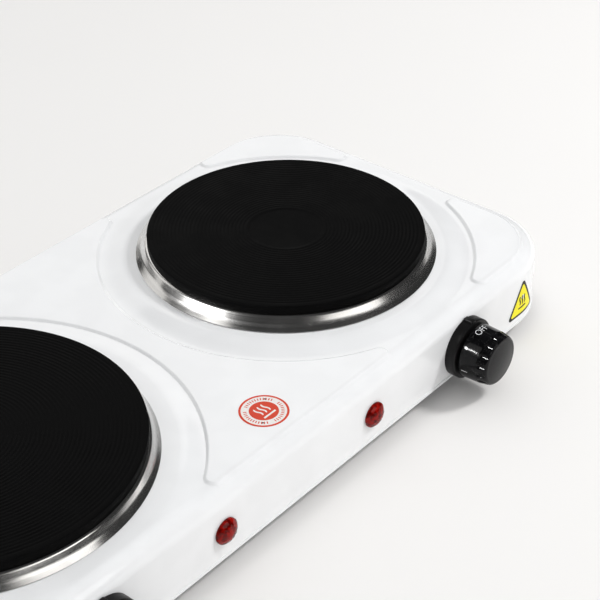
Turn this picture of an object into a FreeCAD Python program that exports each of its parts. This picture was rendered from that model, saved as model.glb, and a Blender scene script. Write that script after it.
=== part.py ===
import FreeCAD, Part
import math
import os

# Table-top hot plate with two solid cast-iron burners, one file per subcomponent.
# Frame: millimetres, +X to the right along the front, +Y to the back, +Z up. The origin is
# on the table under the middle of the overall box, knobs and lead bush included. The
# shapes are built round the middle of the housing and moved back by FRAME_SHIFT at the end.

# Housing: one pressed sheet of enamelled steel, open at the bottom.
HOUSING_LENGTH = 468.0
HOUSING_DEPTH = 222.0
HOUSING_CORNER_R = 43.0
HOUSING_EDGE_R = 9.0
HOUSING_SHEET = 0.8
FOOT_GAP = 8.0
WALL_HEIGHT = 39.5
HEM_HEIGHT = 2.0
HEM_LIP = 0.5

# Pressed relief of the deck: collars round the burners and flat raised islands between them.
COLLAR_RISE = 2.5
COLLAR_RUN = 15.0
ISLAND_RISE = 1.2
ISLAND_MARGIN = 6.0
ISLAND_SIDE_MARGIN = 9.7
ISLAND_CORNER_R = 37.5
ISLAND_CLEARANCE = 21.3
ISLAND_TIP_R = 4.5

# Burners: the left one is the large one.
BURNER_SPACING = 237.6
LARGE_PLATE_R = 90.0
SMALL_PLATE_R = 77.5
LARGE_RING_OVERHANG = 5.3
SMALL_RING_OVERHANG = 6.75
LARGE_LEDGE_WIDTH = 8.0
SMALL_LEDGE_WIDTH = 4.0
LEDGE_OVERLAP = 4.7

# Cast-iron plate, heights measured from the ledge that the spill ring rests on.
PLATE_TOP = 12.3
PLATE_RIM_UNDERSIDE = 7.3
PLATE_CHANNEL_TOP = 4.3
PLATE_SKIRT_BOTTOM = -3.7
PLATE_CHAMFER = 0.6
PLATE_SKIRT_INSET = 2.5
PLATE_SKIRT_WALL = 4.5
PLATE_BOSS_R = 22.0
PLATE_BOSS_BOTTOM = -3.2
PLATE_DISH_R = 19.5
PLATE_DISH_DEPTH = 0.8
PLATE_DISH_SLOPE = 1.0
GROOVE_PITCH = 2.1
GROOVE_WIDTH = 1.1
GROOVE_DEPTH = 0.35
GROOVE_EDGE_MARGIN = 2.4

# Spill ring: folded stainless band between plate and deck.
RING_SHEET = 0.6
RING_LIP = 1.9
RING_SHOULDER = 0.6
RING_KNEE_HEIGHT = 2.6
RING_FLANGE_HEIGHT = 1.6
RING_FOOT_HEIGHT = 0.2
RING_KNEE_SHARE = 0.3
RING_FLANGE_SHARE = 0.8

# Heating coil in its ceramic filling, closed by a sheet cover.
COIL_TUBE_R = 2.0
COIL_HEIGHT = 0.8
COIL_INSET = 12.0
COIL_PIN_X = 7.0
COIL_PIN_LENGTH = 16.8
COVER_SHEET = 0.6
INSULATOR_LENGTH = 28.0
INSULATOR_WIDTH = 18.0
INSULATOR_HEIGHT = 8.0

# Clamp that pulls each plate down: stud, bridge and nut.
STUD_R = 3.0
STUD_DEPTH_IN_BOSS = 8.0
STUD_LENGTH = 29.0
BRIDGE_WIDTH = 24.0
BRIDGE_SHEET = 2.0
BRIDGE_DROP = 12.0
BRIDGE_END_OVERLAP = 7.0
BRIDGE_TOE = 5.5
BRIDGE_LEG_RUN = 3.0
NUT_ACROSS_FLATS = 10.0
NUT_HEIGHT = 5.0

# Base: tray with slots, posts, feet and the screws that hold them together.
TRAY_SHEET = 0.8
TRAY_RECESS = 1.2
TRAY_FLANGE = 4.0
SLOT_COUNT = 7
SLOT_PITCH = 10.0
SLOT_LENGTH = 56.0
SLOT_WIDTH = 4.0
POST_INSET_X = 26.0
POST_INSET_Y = 25.0
POST_R = 4.0
POST_THREAD_DEPTH = 14.0
FOOT_TOP_R = 9.0
FOOT_BOTTOM_R = 7.5
FOOT_RECESS_R = 4.5
FOOT_RECESS_DEPTH = 5.0
SCREW_R = 1.95
SCREW_HEAD_R = 3.6
SCREW_HEAD_HEIGHT = 2.2
DRIVER_SLOT_WIDTH = 1.0
DRIVER_SLOT_DEPTH = 0.9

# Controls on the front wall: thermostat, bezel and knob share one axis per burner.
KNOB_OFFSET = 135.4
KNOB_HEIGHT = 23.6
SHAFT_R = 3.0
SHAFT_FLAT = 1.5
SHAFT_INSIDE = 14.0
SHAFT_OUTSIDE = 18.0
SHAFT_ROUND_LENGTH = 5.5
BUSHING_R = 4.5
BUSHING_LENGTH = 1.5
WALL_HOLE_R = 5.5
THERMOSTAT_SIZE = (34.0, 28.0, 18.0)
BRACKET_SIZE = (40.0, 1.2, 16.0)
THERMOSTAT_SCREW_X = 10.0
THERMOSTAT_SCREW_LENGTH = 3.2
THERMOSTAT_POCKET_DEPTH = 2.0
TAB_SPACING = 8.0
TAB_LENGTH = 8.0
TAB_WIDTH = 6.3
TAB_SHEET = 0.8
BEZEL_R = 17.2
BEZEL_DEPTH = 6.0
BEZEL_WALL = 2.0
BEZEL_WEB = 1.8
BEZEL_BORE_R = 6.5
BEZEL_PEG_R = 1.5
BEZEL_PEG_CIRCLE_R = 13.6
BEZEL_PEG_ANGLES = (50.0, 130.0)
BEZEL_NUB_WIDTH = 3.4
BEZEL_NUB_RISE = 1.1
KNOB_GAP = 1.6
KNOB_SKIRT_R = 15.4
KNOB_GRIP_R = 15.0
KNOB_RIM_R = 14.3
KNOB_SKIRT_LENGTH = 10.6
KNOB_GRIP_LENGTH = 3.6
KNOB_ROUNDING = 2.3
KNOB_DOME = 0.9
KNOB_WALL = 1.9
KNOB_FACE = 3.0
KNOB_HUB_R = 5.2
KNOB_HUB_REACH = 3.0
KNOB_BORE_GAP = 0.6
KNOB_CAVITY_STEP = 2.0
KNOB_SKIRT_CHAMFER = 0.4
KNOB_ROUNDING_STEPS = 4
KNOB_DOME_STEPS = 6
FLUTE_COUNT = 16
FLUTE_R = 1.7
FLUTE_CENTRE_R = 15.3

# Pilot lamps on the front wall.
LAMP_OFFSET = 56.1
LAMP_HEIGHT = 24.6
LENS_R = 7.0
LENS_FLANGE = 1.2
LENS_DOME = 3.3
LENS_BARREL_R = 5.0
LENS_BARREL_LENGTH = 10.0
LENS_WALL = 1.0
LENS_DOME_SINK = 0.01
BULB_R = 2.8
BULB_END_GAP = 0.5
RETAINER_R = 8.0
RETAINER_SHEET = 0.8
HOLDER_R = 5.5
HOLDER_LENGTH = 6.5

# Wiring, supply terminals and the bush for the supply lead in the back wall.
SUPPLY_X = 60.0
BLOCK_SIZE = (44.0, 16.0, 14.0)
BLOCK_BACK_GAP = 22.2
PORT_COUNT = 4
PORT_SPACING = 9.0
PORT_R = 1.7
PORT_HEIGHT = 6.0
TERMINAL_SCREW_R = 1.5
TERMINAL_SCREW_DEPTH = 4.6
TERMINAL_SLOT_WIDTH = 0.6
TERMINAL_SLOT_DEPTH = 0.7
EARTH_X = 20.0
EARTH_SCREW_REACH = 8.0
EARTH_NUT_ACROSS_FLATS = 7.0
EARTH_NUT_HEIGHT = 3.2
WIRE_R = 1.2
WIRE_ENTRY = 6.0
SUPPLY_STRAIGHT = 10.0
RETURN_STRAIGHT = 14.0
TAB_STRAIGHT = 4.0
LOAD_STRAIGHT = 6.0
PIN_STRAIGHT = 8.0
LAMP_STRAIGHT = 12.0
LAMP_LEAD_X = 3.0
LAMP_RETURN_STRAIGHT = 6.0
LAMP_RETURN_RUN = 30.0
LAMP_RETURN_RISE = 4.0
LAMP_RETURN_SIDE = 14.0
GLAND_HEIGHT = 24.0
GLAND_FLANGE_R = 9.0
GLAND_FLANGE = 2.0
GLAND_BARREL_R = 6.4
GLAND_LIP_R = 7.6
GLAND_LIP = 1.5
GLAND_BORE_R = 3.75

# Labels.
STICKER_R = 12.5
STICKER_INSET = 24.5
STICKER_SHEET = 0.15
LABEL_SIDE = 27.5
LABEL_CORNER_R = 1.6
LABEL_BASE_HEIGHT = 5.2
LABEL_WRAP_SHIFT = 1.9
LABEL_SHEET = 0.2

# Named clearances.
SLIP = 0.05
FIT_GAP = 0.2
LOOSE = 0.3
CUT_OVERRUN = 2.0
FUSE_OVERLAP = 0.5
END_GAP = 1.0
TOUCH = 1e-6

DECK_Z = FOOT_GAP + WALL_HEIGHT
LEDGE_Z = DECK_Z + COLLAR_RISE
ISLAND_Z = DECK_Z + ISLAND_RISE
FRONT_Y = -HOUSING_DEPTH / 2
BACK_Y = HOUSING_DEPTH / 2
INNER_FRONT_Y = FRONT_Y + HOUSING_SHEET
INNER_BACK_Y = BACK_Y - HOUSING_SHEET
TRAY_BOTTOM = FOOT_GAP + TRAY_RECESS
TRAY_TOP = TRAY_BOTTOM + TRAY_SHEET
POST_X = HOUSING_LENGTH / 2 - POST_INSET_X
POST_Y = HOUSING_DEPTH / 2 - POST_INSET_Y
POSTS = [(x, y) for x in (-POST_X, POST_X) for y in (-POST_Y, POST_Y)]
BLOCK_Y = BACK_Y - BLOCK_BACK_GAP - BLOCK_SIZE[1] / 2
PORT_Z = TRAY_TOP + PORT_HEIGHT
KNOB_REACH = (BEZEL_DEPTH + KNOB_GAP + KNOB_SKIRT_LENGTH + KNOB_GRIP_LENGTH + KNOB_ROUNDING
              + KNOB_DOME)
FRAME_SHIFT = (KNOB_REACH - GLAND_FLANGE) / 2

BURNERS = {
    "left": {
        "x": -BURNER_SPACING / 2,
        "plate_r": LARGE_PLATE_R,
        "overhang": LARGE_RING_OVERHANG,
        "ledge": LARGE_LEDGE_WIDTH,
    },
    "right": {
        "x": BURNER_SPACING / 2,
        "plate_r": SMALL_PLATE_R,
        "overhang": SMALL_RING_OVERHANG,
        "ledge": SMALL_LEDGE_WIDTH,
    },
}
SIDES = {"left": -1, "right": 1}

for burner in BURNERS.values():
    burner["ring_r"] = burner["plate_r"] + burner["overhang"]
    burner["opening_r"] = burner["ring_r"] - LEDGE_OVERLAP
    burner["shoulder_r"] = burner["ring_r"] + burner["ledge"]
    burner["skirt_r"] = burner["plate_r"] - PLATE_SKIRT_INSET
    burner["channel_r"] = burner["skirt_r"] - PLATE_SKIRT_WALL
    burner["coil_radii"] = (PLATE_BOSS_R + COIL_INSET, burner["channel_r"] - COIL_INSET)
    burner["bar_ends"] = [-math.sqrt(r * r - COIL_PIN_X ** 2) for r in burner["coil_radii"]]
    burner["pin_y"] = sum(burner["bar_ends"]) / 2

UP = FreeCAD.Vector(0, 0, 1)
OUTWARD = FreeCAD.Vector(0, -1, 0)


def vec(x, y, z):
    return FreeCAD.Vector(x, y, z)


def export(name, solids):
    """Write one node, a single solid or a group of solids, in the part's own frame."""
    shape = solids if isinstance(solids, Part.Shape) else Part.Compound(list(solids))
    shape.translate(vec(0, FRAME_SHIFT, 0))
    shape.exportStep(os.path.join("parts", name + ".step"))


def box(centre_x, centre_y, z_low, length, depth, height):
    corner = vec(centre_x - length / 2, centre_y - depth / 2, z_low)
    return Part.makeBox(length, depth, height, corner)


def post(x, y, z_low, z_high, radius):
    return Part.makeCylinder(radius, z_high - z_low, vec(x, y, z_low), UP)


def spindle(x, z, y_start, length, radius):
    """Cylinder on an axis that points out of the front wall, starting at y_start."""
    return Part.makeCylinder(radius, length, vec(x, y_start, z), OUTWARD)


def slab(length, depth, corner_r, z_low, z_high):
    """Upright block centred on the origin with rounded vertical edges."""
    block = box(0, 0, z_low, length, depth, z_high - z_low)
    uprights = [e for e in block.Edges if abs(e.Length - (z_high - z_low)) < TOUCH
                and abs(e.Vertexes[0].X - e.Vertexes[-1].X) < TOUCH
                and abs(e.Vertexes[0].Y - e.Vertexes[-1].Y) < TOUCH]
    return block.makeFillet(corner_r, uprights)


def pan(inset, z_low, z_high):
    """Rounded block with the housing's outline pulled in by inset and a rounded top edge."""
    block = slab(HOUSING_LENGTH - 2 * inset, HOUSING_DEPTH - 2 * inset,
                 HOUSING_CORNER_R - inset, z_low, z_high)
    top = [e for e in block.Edges if min(v.Z for v in e.Vertexes) > z_high - TOUCH]
    return block.makeFillet(HOUSING_EDGE_R - inset, top)


def turned(profile, x, y):
    """Solid of revolution about an upright axis through (x, y) from (radius, height) points."""
    points = [vec(x + r, y, z) for r, z in profile]
    face = Part.Face(Part.makePolygon(points + points[:1]))
    return face.revolve(vec(x, y, 0), UP, 360)


def turned_on_wall(profile, x, z):
    """Solid of revolution about a wall axis from (radius, distance in front of the wall)."""
    points = [vec(x + r, FRONT_Y - off, z) for r, off in profile]
    face = Part.Face(Part.makePolygon(points + points[:1]))
    return face.revolve(vec(x, 0, z), OUTWARD, 360)


def band(points, thickness):
    """Closed outline of a strip of constant thickness centred on a line of points."""
    normals = []
    for start, end in zip(points, points[1:]):
        run = math.hypot(end[0] - start[0], end[1] - start[1])
        normals.append(((start[1] - end[1]) / run, (end[0] - start[0]) / run))
    upper, lower = [], []
    for (a, b), before, after in zip(points, normals[:1] + normals, normals + normals[-1:]):
        across = (before[0] + after[0], before[1] + after[1])
        scale = thickness / (across[0] ** 2 + across[1] ** 2)
        upper.append((a + across[0] * scale, b + across[1] * scale))
        lower.append((a - across[0] * scale, b - across[1] * scale))
    return upper + lower[::-1]


def rod(points, radius):
    """Round rod swept along a chain of points, with rounded corners."""
    ring = Part.Wire(Part.makeCircle(radius, points[0], points[1].sub(points[0])))
    round_corners = 2
    path = Part.makePolygon(points)
    return path.makePipeShell([ring], True, False, round_corners)


def hex_nut(x, y, z_low, across_flats, height, bore_r):
    corner_r = across_flats / math.sqrt(3)
    ring = [vec(x + corner_r * math.cos(math.radians(60 * i)),
                y + corner_r * math.sin(math.radians(60 * i)), z_low) for i in range(6)]
    body = Part.Face(Part.makePolygon(ring + ring[:1])).extrude(UP * height)
    return body.cut(post(x, y, z_low - CUT_OVERRUN, z_low + height + CUT_OVERRUN, bore_r))


def collar(burner, lowered, top):
    """Disc whose edge falls in a smooth S from the ledge to the deck."""
    r_top = burner["shoulder_r"]
    r_mid = r_top + COLLAR_RUN / 2
    r_low = r_top + COLLAR_RUN
    z_top = top - lowered
    z_low = z_top - COLLAR_RISE
    arc_r = (COLLAR_RUN ** 2 + COLLAR_RISE ** 2) / (4 * COLLAR_RISE)
    sag = arc_r - math.sqrt(arc_r ** 2 - (COLLAR_RUN / 4) ** 2)
    x = burner["x"]
    shoulder = Part.Arc(vec(x + r_top, 0, z_top), vec(x + r_top + COLLAR_RUN / 4, 0, z_top - sag),
                        vec(x + r_mid, 0, z_top - COLLAR_RISE / 2))
    foot = Part.Arc(vec(x + r_mid, 0, z_top - COLLAR_RISE / 2),
                    vec(x + r_low - COLLAR_RUN / 4, 0, z_low + sag), vec(x + r_low, 0, z_low))
    root = z_low - CUT_OVERRUN
    edges = [Part.makeLine(vec(x, 0, root), vec(x, 0, z_top)),
             Part.makeLine(vec(x, 0, z_top), vec(x + r_top, 0, z_top)),
             shoulder.toShape(), foot.toShape(),
             Part.makeLine(vec(x + r_low, 0, z_low), vec(x + r_low, 0, root)),
             Part.makeLine(vec(x + r_low, 0, root), vec(x, 0, root))]
    return Part.Face(Part.Wire(edges)).revolve(vec(x, 0, 0), UP, 360)


def islands(inset, z_low, z_high):
    """Raised islands pulled in by inset: a rounded field less a disc round each burner."""
    field = slab(HOUSING_LENGTH - 2 * (ISLAND_SIDE_MARGIN + inset),
                 HOUSING_DEPTH - 2 * (ISLAND_MARGIN + inset), ISLAND_CORNER_R - inset,
                 z_low, z_high)
    reaches = [(burner["x"], burner["ring_r"] + ISLAND_CLEARANCE + inset)
               for burner in BURNERS.values()]
    for x, reach in reaches:
        field = field.cut(post(x, 0, z_low - CUT_OVERRUN, z_high + CUT_OVERRUN, reach))
    return [round_tips(island, reaches, ISLAND_TIP_R - inset) for island in field.Solids]


def round_tips(island, reaches, radius):
    """Round the upright edges that the discs leave; a disc's own seam at y = 0 stays."""
    tips = []
    for edge in island.Edges:
        low, high = edge.Vertexes[0], edge.Vertexes[-1]
        upright = abs(low.X - high.X) < TOUCH and abs(low.Y - high.Y) < TOUCH
        gaps = [abs(math.hypot(low.X - x, low.Y) - reach) for x, reach in reaches]
        if upright and min(gaps) < TOUCH and abs(low.Y) > TOUCH:
            tips.append(edge)
    return island.makeFillet(radius, tips) if tips else island


def pressed_form(inset, z_low):
    """The housing's outer form, or its inner form when pulled in by the sheet thickness."""
    form = pan(inset, z_low, DECK_Z - inset)
    collars_limit = pan(inset, z_low, LEDGE_Z - inset)
    for burner in BURNERS.values():
        form = form.fuse(collar(burner, inset, LEDGE_Z).common(collars_limit))
    islands_limit = pan(inset, z_low, ISLAND_Z - inset)
    for island in islands(inset, DECK_Z - inset - CUT_OVERRUN, ISLAND_Z - inset):
        form = form.fuse(island.common(islands_limit))
    return form.removeSplitter()


def top_housing():
    """Enamelled shell with burner openings and the holes of the front and back walls."""
    shell = pressed_form(0, FOOT_GAP)
    hem = slab(HOUSING_LENGTH + 2 * HEM_LIP, HOUSING_DEPTH + 2 * HEM_LIP,
               HOUSING_CORNER_R + HEM_LIP, FOOT_GAP, FOOT_GAP + HEM_HEIGHT)
    shell = shell.fuse(hem).cut(pressed_form(HOUSING_SHEET, FOOT_GAP - CUT_OVERRUN))
    cutters = []
    for burner in BURNERS.values():
        cutters.append(post(burner["x"], 0, FOOT_GAP, LEDGE_Z + CUT_OVERRUN,
                            burner["opening_r"]))
    through = HOUSING_SHEET + 2 * CUT_OVERRUN
    y_inside = INNER_FRONT_Y + CUT_OVERRUN
    for sign in SIDES.values():
        x = sign * KNOB_OFFSET
        cutters.append(spindle(x, KNOB_HEIGHT, y_inside, through, WALL_HOLE_R))
        for shift in (-THERMOSTAT_SCREW_X, THERMOSTAT_SCREW_X):
            cutters.append(spindle(x + shift, KNOB_HEIGHT, y_inside, through, SCREW_R + FIT_GAP))
        for peg_x, peg_z in bezel_pegs(x):
            cutters.append(spindle(peg_x, peg_z, y_inside, through, BEZEL_PEG_R + SLIP))
        cutters.append(spindle(sign * LAMP_OFFSET, LAMP_HEIGHT, y_inside, through,
                               LENS_BARREL_R + FIT_GAP))
    cutters.append(spindle(SUPPLY_X, GLAND_HEIGHT, BACK_Y + CUT_OVERRUN, through,
                           GLAND_BARREL_R + FIT_GAP))
    return shell.cut(cutters)


def obround(x, y, z_low, z_high, length, width):
    """Upright cutter for a slot with round ends that runs along Y."""
    straight = length - width
    middle = box(x, y, z_low, width, straight, z_high - z_low)
    ends = [post(x, y + s * straight / 2, z_low, z_high, width / 2) for s in (-1, 1)]
    return middle.multiFuse(ends)


def base_tray():
    """Sheet tray that closes the bottom, with an upturned flange and air slots."""
    inset = HOUSING_SHEET + LOOSE
    outer = slab(HOUSING_LENGTH - 2 * inset, HOUSING_DEPTH - 2 * inset,
                 HOUSING_CORNER_R - inset, TRAY_BOTTOM, TRAY_TOP + TRAY_FLANGE)
    inset += TRAY_SHEET
    inner = slab(HOUSING_LENGTH - 2 * inset, HOUSING_DEPTH - 2 * inset,
                 HOUSING_CORNER_R - inset, TRAY_TOP, TRAY_TOP + TRAY_FLANGE + CUT_OVERRUN)
    z_low = TRAY_BOTTOM - CUT_OVERRUN
    z_high = TRAY_TOP + CUT_OVERRUN
    cutters = [post(x, y, z_low, z_high, SCREW_R + FIT_GAP) for x, y in POSTS]
    cutters.append(post(EARTH_X, BLOCK_Y, z_low, z_high, SCREW_R + SLIP))
    for burner in BURNERS.values():
        for index in range(SLOT_COUNT):
            x = burner["x"] + (index - (SLOT_COUNT - 1) / 2) * SLOT_PITCH
            cutters.append(obround(x, 0, z_low, z_high, SLOT_LENGTH, SLOT_WIDTH))
    return outer.cut(inner).cut(cutters)


def corner_post(x, y):
    body = post(x, y, TRAY_TOP, ISLAND_Z - HOUSING_SHEET, POST_R)
    return body.cut(post(x, y, TRAY_TOP - CUT_OVERRUN, TRAY_TOP + POST_THREAD_DEPTH,
                         SCREW_R + SLIP))


def rubber_foot(x, y):
    body = Part.makeCone(FOOT_BOTTOM_R, FOOT_TOP_R, TRAY_BOTTOM, vec(x, y, 0), UP)
    recess = post(x, y, -CUT_OVERRUN, FOOT_RECESS_DEPTH, FOOT_RECESS_R)
    return body.cut([recess, post(x, y, 0, TRAY_BOTTOM + CUT_OVERRUN, SCREW_R + FIT_GAP)])


def foot_screw(x, y):
    z_low = FOOT_RECESS_DEPTH - SCREW_HEAD_HEIGHT
    head = post(x, y, z_low, FOOT_RECESS_DEPTH, SCREW_HEAD_R)
    tip = TRAY_TOP + POST_THREAD_DEPTH - END_GAP
    shank = post(x, y, FOOT_RECESS_DEPTH - FUSE_OVERLAP, tip, SCREW_R)
    slot = box(x, y, z_low - CUT_OVERRUN, 2 * SCREW_HEAD_R, DRIVER_SLOT_WIDTH,
               CUT_OVERRUN + DRIVER_SLOT_DEPTH)
    return head.fuse(shank).removeSplitter().cut(slot)


def hotplate(burner):
    """Cast plate with fine turned grooves, a dished centre and a channel underneath."""
    r_out = burner["plate_r"]
    top = LEDGE_Z + PLATE_TOP
    dish = top - PLATE_DISH_DEPTH
    profile = [(0, dish), (PLATE_DISH_R, dish), (PLATE_DISH_R + PLATE_DISH_SLOPE, top)]
    r = PLATE_DISH_R + PLATE_DISH_SLOPE + GROOVE_PITCH - GROOVE_WIDTH
    while r + GROOVE_WIDTH < r_out - GROOVE_EDGE_MARGIN:
        profile += [(r, top), (r + GROOVE_WIDTH / 3, top - GROOVE_DEPTH),
                    (r + GROOVE_WIDTH * 2 / 3, top - GROOVE_DEPTH), (r + GROOVE_WIDTH, top)]
        r += GROOVE_PITCH
    rim = LEDGE_Z + PLATE_RIM_UNDERSIDE
    skirt = LEDGE_Z + PLATE_SKIRT_BOTTOM
    channel = LEDGE_Z + PLATE_CHANNEL_TOP
    boss = LEDGE_Z + PLATE_BOSS_BOTTOM
    profile += [(r_out - PLATE_CHAMFER, top), (r_out, top - PLATE_CHAMFER), (r_out, rim),
                (burner["skirt_r"], rim), (burner["skirt_r"], skirt),
                (burner["channel_r"], skirt), (burner["channel_r"], channel),
                (PLATE_BOSS_R, channel), (PLATE_BOSS_R, boss), (0, boss)]
    plate = turned(profile, burner["x"], 0)
    return plate.cut(post(burner["x"], 0, boss - CUT_OVERRUN, boss + STUD_DEPTH_IN_BOSS,
                          STUD_R + SLIP))


def spill_ring(burner):
    r = burner["plate_r"]
    over = burner["overhang"]
    line = [(r - RING_LIP, LEDGE_Z + PLATE_RIM_UNDERSIDE - RING_SHEET / 2 - SLIP),
            (r + RING_SHOULDER, LEDGE_Z + PLATE_RIM_UNDERSIDE - RING_SHEET / 2 - SLIP),
            (r + RING_SHOULDER + RING_KNEE_SHARE * over, LEDGE_Z + RING_KNEE_HEIGHT),
            (r + RING_FLANGE_SHARE * over, LEDGE_Z + RING_FLANGE_HEIGHT),
            (r + over - RING_SHEET / 2, LEDGE_Z + RING_FOOT_HEIGHT)]
    return turned(band(line, RING_SHEET), burner["x"], 0)


def heating_coil(burner, tube_r, pin_bottom):
    """Two open rings joined by bars, with a pin down from the middle of each bar."""
    x = burner["x"]
    z = LEDGE_Z + COIL_HEIGHT
    pieces = []
    for radius in burner["coil_radii"]:
        half_gap = math.degrees(math.asin(COIL_PIN_X / radius))
        ring = Part.makeTorus(radius, tube_r, vec(0, 0, 0), UP, 0, 360, 360 - 2 * half_gap)
        ring.rotate(vec(0, 0, 0), UP, half_gap - 90)
        ring.translate(vec(x, 0, z))
        pieces.append(ring)
    for shift in (-COIL_PIN_X, COIL_PIN_X):
        ends = [vec(x + shift, y, z) for y in burner["bar_ends"]]
        pieces.append(Part.makeCylinder(tube_r, ends[0].sub(ends[1]).Length, ends[0], OUTWARD))
        pieces += [Part.makeSphere(tube_r, end) for end in ends]
        pieces.append(post(x + shift, burner["pin_y"], pin_bottom, z, tube_r))
    return pieces[0].multiFuse(pieces[1:])


def ceramic_filling(burner):
    low = LEDGE_Z + PLATE_BOSS_BOTTOM
    high = LEDGE_Z + PLATE_CHANNEL_TOP
    x = burner["x"]
    body = post(x, 0, low, high, burner["channel_r"] - FIT_GAP)
    body = body.cut(post(x, 0, low - CUT_OVERRUN, high + CUT_OVERRUN, PLATE_BOSS_R + FIT_GAP))
    return body.cut(heating_coil(burner, COIL_TUBE_R + FIT_GAP, low - CUT_OVERRUN))


def plate_cover(burner):
    top = LEDGE_Z + PLATE_BOSS_BOTTOM
    x = burner["x"]
    disc = post(x, 0, top - COVER_SHEET, top, burner["channel_r"] - FIT_GAP)
    z_low = top - COVER_SHEET - CUT_OVERRUN
    z_high = top + CUT_OVERRUN
    cutters = [post(x, 0, z_low, z_high, STUD_R + FIT_GAP)]
    for shift in (-COIL_PIN_X, COIL_PIN_X):
        cutters.append(post(x + shift, burner["pin_y"], z_low, z_high, COIL_TUBE_R + LOOSE))
    return disc.cut(cutters)


def terminal_insulator(burner):
    top = LEDGE_Z + PLATE_BOSS_BOTTOM - COVER_SHEET
    low = top - INSULATOR_HEIGHT
    block = box(burner["x"], burner["pin_y"], low,
                INSULATOR_LENGTH, INSULATOR_WIDTH, INSULATOR_HEIGHT)
    holes = [post(burner["x"] + shift, burner["pin_y"], low - CUT_OVERRUN, top + CUT_OVERRUN,
                  COIL_TUBE_R + FIT_GAP) for shift in (-COIL_PIN_X, COIL_PIN_X)]
    return block.cut(holes)


def pin_tip_z():
    return LEDGE_Z + COIL_HEIGHT - COIL_PIN_LENGTH


def bridge_top_z():
    return LEDGE_Z - HOUSING_SHEET - BRIDGE_DROP


def clamp_stud(burner):
    top = LEDGE_Z + PLATE_BOSS_BOTTOM + STUD_DEPTH_IN_BOSS - END_GAP
    return post(burner["x"], 0, top - STUD_LENGTH, top, STUD_R)


def clamp_bridge(burner):
    """Folded bar whose toes press up against the underside of the ledge."""
    reach = burner["opening_r"] + BRIDGE_END_OVERLAP
    toe_z = LEDGE_Z - HOUSING_SHEET - BRIDGE_SHEET / 2
    bar_z = bridge_top_z() - BRIDGE_SHEET / 2
    right = [(reach - BRIDGE_TOE - BRIDGE_LEG_RUN, bar_z), (reach - BRIDGE_TOE, toe_z),
             (reach, toe_z)]
    line = [(-a, b) for a, b in right[::-1]] + right
    x = burner["x"]
    outline = [vec(x + a, -BRIDGE_WIDTH / 2, b) for a, b in band(line, BRIDGE_SHEET)]
    bar = Part.Face(Part.makePolygon(outline + outline[:1])).extrude(vec(0, BRIDGE_WIDTH, 0))
    return bar.cut(post(x, 0, bar_z - BRIDGE_SHEET, bar_z + BRIDGE_SHEET, STUD_R + FIT_GAP))


def clamp_nut(burner):
    z_low = bridge_top_z() - BRIDGE_SHEET - NUT_HEIGHT
    return hex_nut(burner["x"], 0, z_low, NUT_ACROSS_FLATS, NUT_HEIGHT, STUD_R + SLIP)


def thermostat_bracket(x):
    length, sheet, height = BRACKET_SIZE
    plate = box(x, INNER_FRONT_Y + sheet / 2, KNOB_HEIGHT - height / 2, length, sheet, height)
    start = INNER_FRONT_Y + sheet + CUT_OVERRUN
    through = sheet + 2 * CUT_OVERRUN
    cutters = [spindle(x, KNOB_HEIGHT, start, through, BUSHING_R + FIT_GAP)]
    for shift in (-THERMOSTAT_SCREW_X, THERMOSTAT_SCREW_X):
        cutters.append(spindle(x + shift, KNOB_HEIGHT, start, through, SCREW_R + SLIP))
    return plate.cut(cutters)


def thermostat_body(x):
    length, depth, height = THERMOSTAT_SIZE
    front = INNER_FRONT_Y + BRACKET_SIZE[1]
    block = box(x, front + depth / 2, KNOB_HEIGHT - height / 2, length, depth, height)
    bushing_length = front - FRONT_Y + BUSHING_LENGTH
    block = block.fuse(spindle(x, KNOB_HEIGHT, front, bushing_length, BUSHING_R))
    bore = spindle(x, KNOB_HEIGHT, front + SHAFT_INSIDE,
                   SHAFT_INSIDE + bushing_length + CUT_OVERRUN, SHAFT_R + SLIP)
    pockets = [spindle(x + shift, KNOB_HEIGHT, front + THERMOSTAT_POCKET_DEPTH,
                       THERMOSTAT_POCKET_DEPTH + FUSE_OVERLAP, SCREW_R + LOOSE)
               for shift in (-THERMOSTAT_SCREW_X, THERMOSTAT_SCREW_X)]
    return block.cut([bore] + pockets)


def thermostat_tabs(x):
    rear = INNER_FRONT_Y + BRACKET_SIZE[1] + THERMOSTAT_SIZE[1]
    return [box(x + shift, rear + TAB_LENGTH / 2, KNOB_HEIGHT - TAB_WIDTH / 2,
                TAB_SHEET, TAB_LENGTH, TAB_WIDTH) for shift in (-TAB_SPACING, 0, TAB_SPACING)]


def thermostat_screw(x):
    head = spindle(x, KNOB_HEIGHT, FRONT_Y, SCREW_HEAD_HEIGHT, SCREW_HEAD_R)
    start = FRONT_Y + THERMOSTAT_SCREW_LENGTH
    shank = spindle(x, KNOB_HEIGHT, start, THERMOSTAT_SCREW_LENGTH + FUSE_OVERLAP, SCREW_R)
    slot = box(x, FRONT_Y - SCREW_HEAD_HEIGHT, KNOB_HEIGHT - SCREW_HEAD_R,
               DRIVER_SLOT_WIDTH, 2 * DRIVER_SLOT_DEPTH, 2 * SCREW_HEAD_R)
    return head.fuse(shank).removeSplitter().cut(slot)


def thermostat_shaft(x):
    """Round shaft with a flat along the part that the knob's hub grips."""
    start = INNER_FRONT_Y + BRACKET_SIZE[1] + SHAFT_INSIDE - END_GAP
    length = start - FRONT_Y + SHAFT_OUTSIDE
    shaft = spindle(x, KNOB_HEIGHT, start, length, SHAFT_R)
    flat_y = FRONT_Y - SHAFT_ROUND_LENGTH
    flat = Part.makeBox(2 * SHAFT_R, SHAFT_OUTSIDE, SHAFT_R,
                        vec(x - SHAFT_R, flat_y - SHAFT_OUTSIDE, KNOB_HEIGHT - SHAFT_FLAT - SHAFT_R))
    return shaft.cut(flat)


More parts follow.
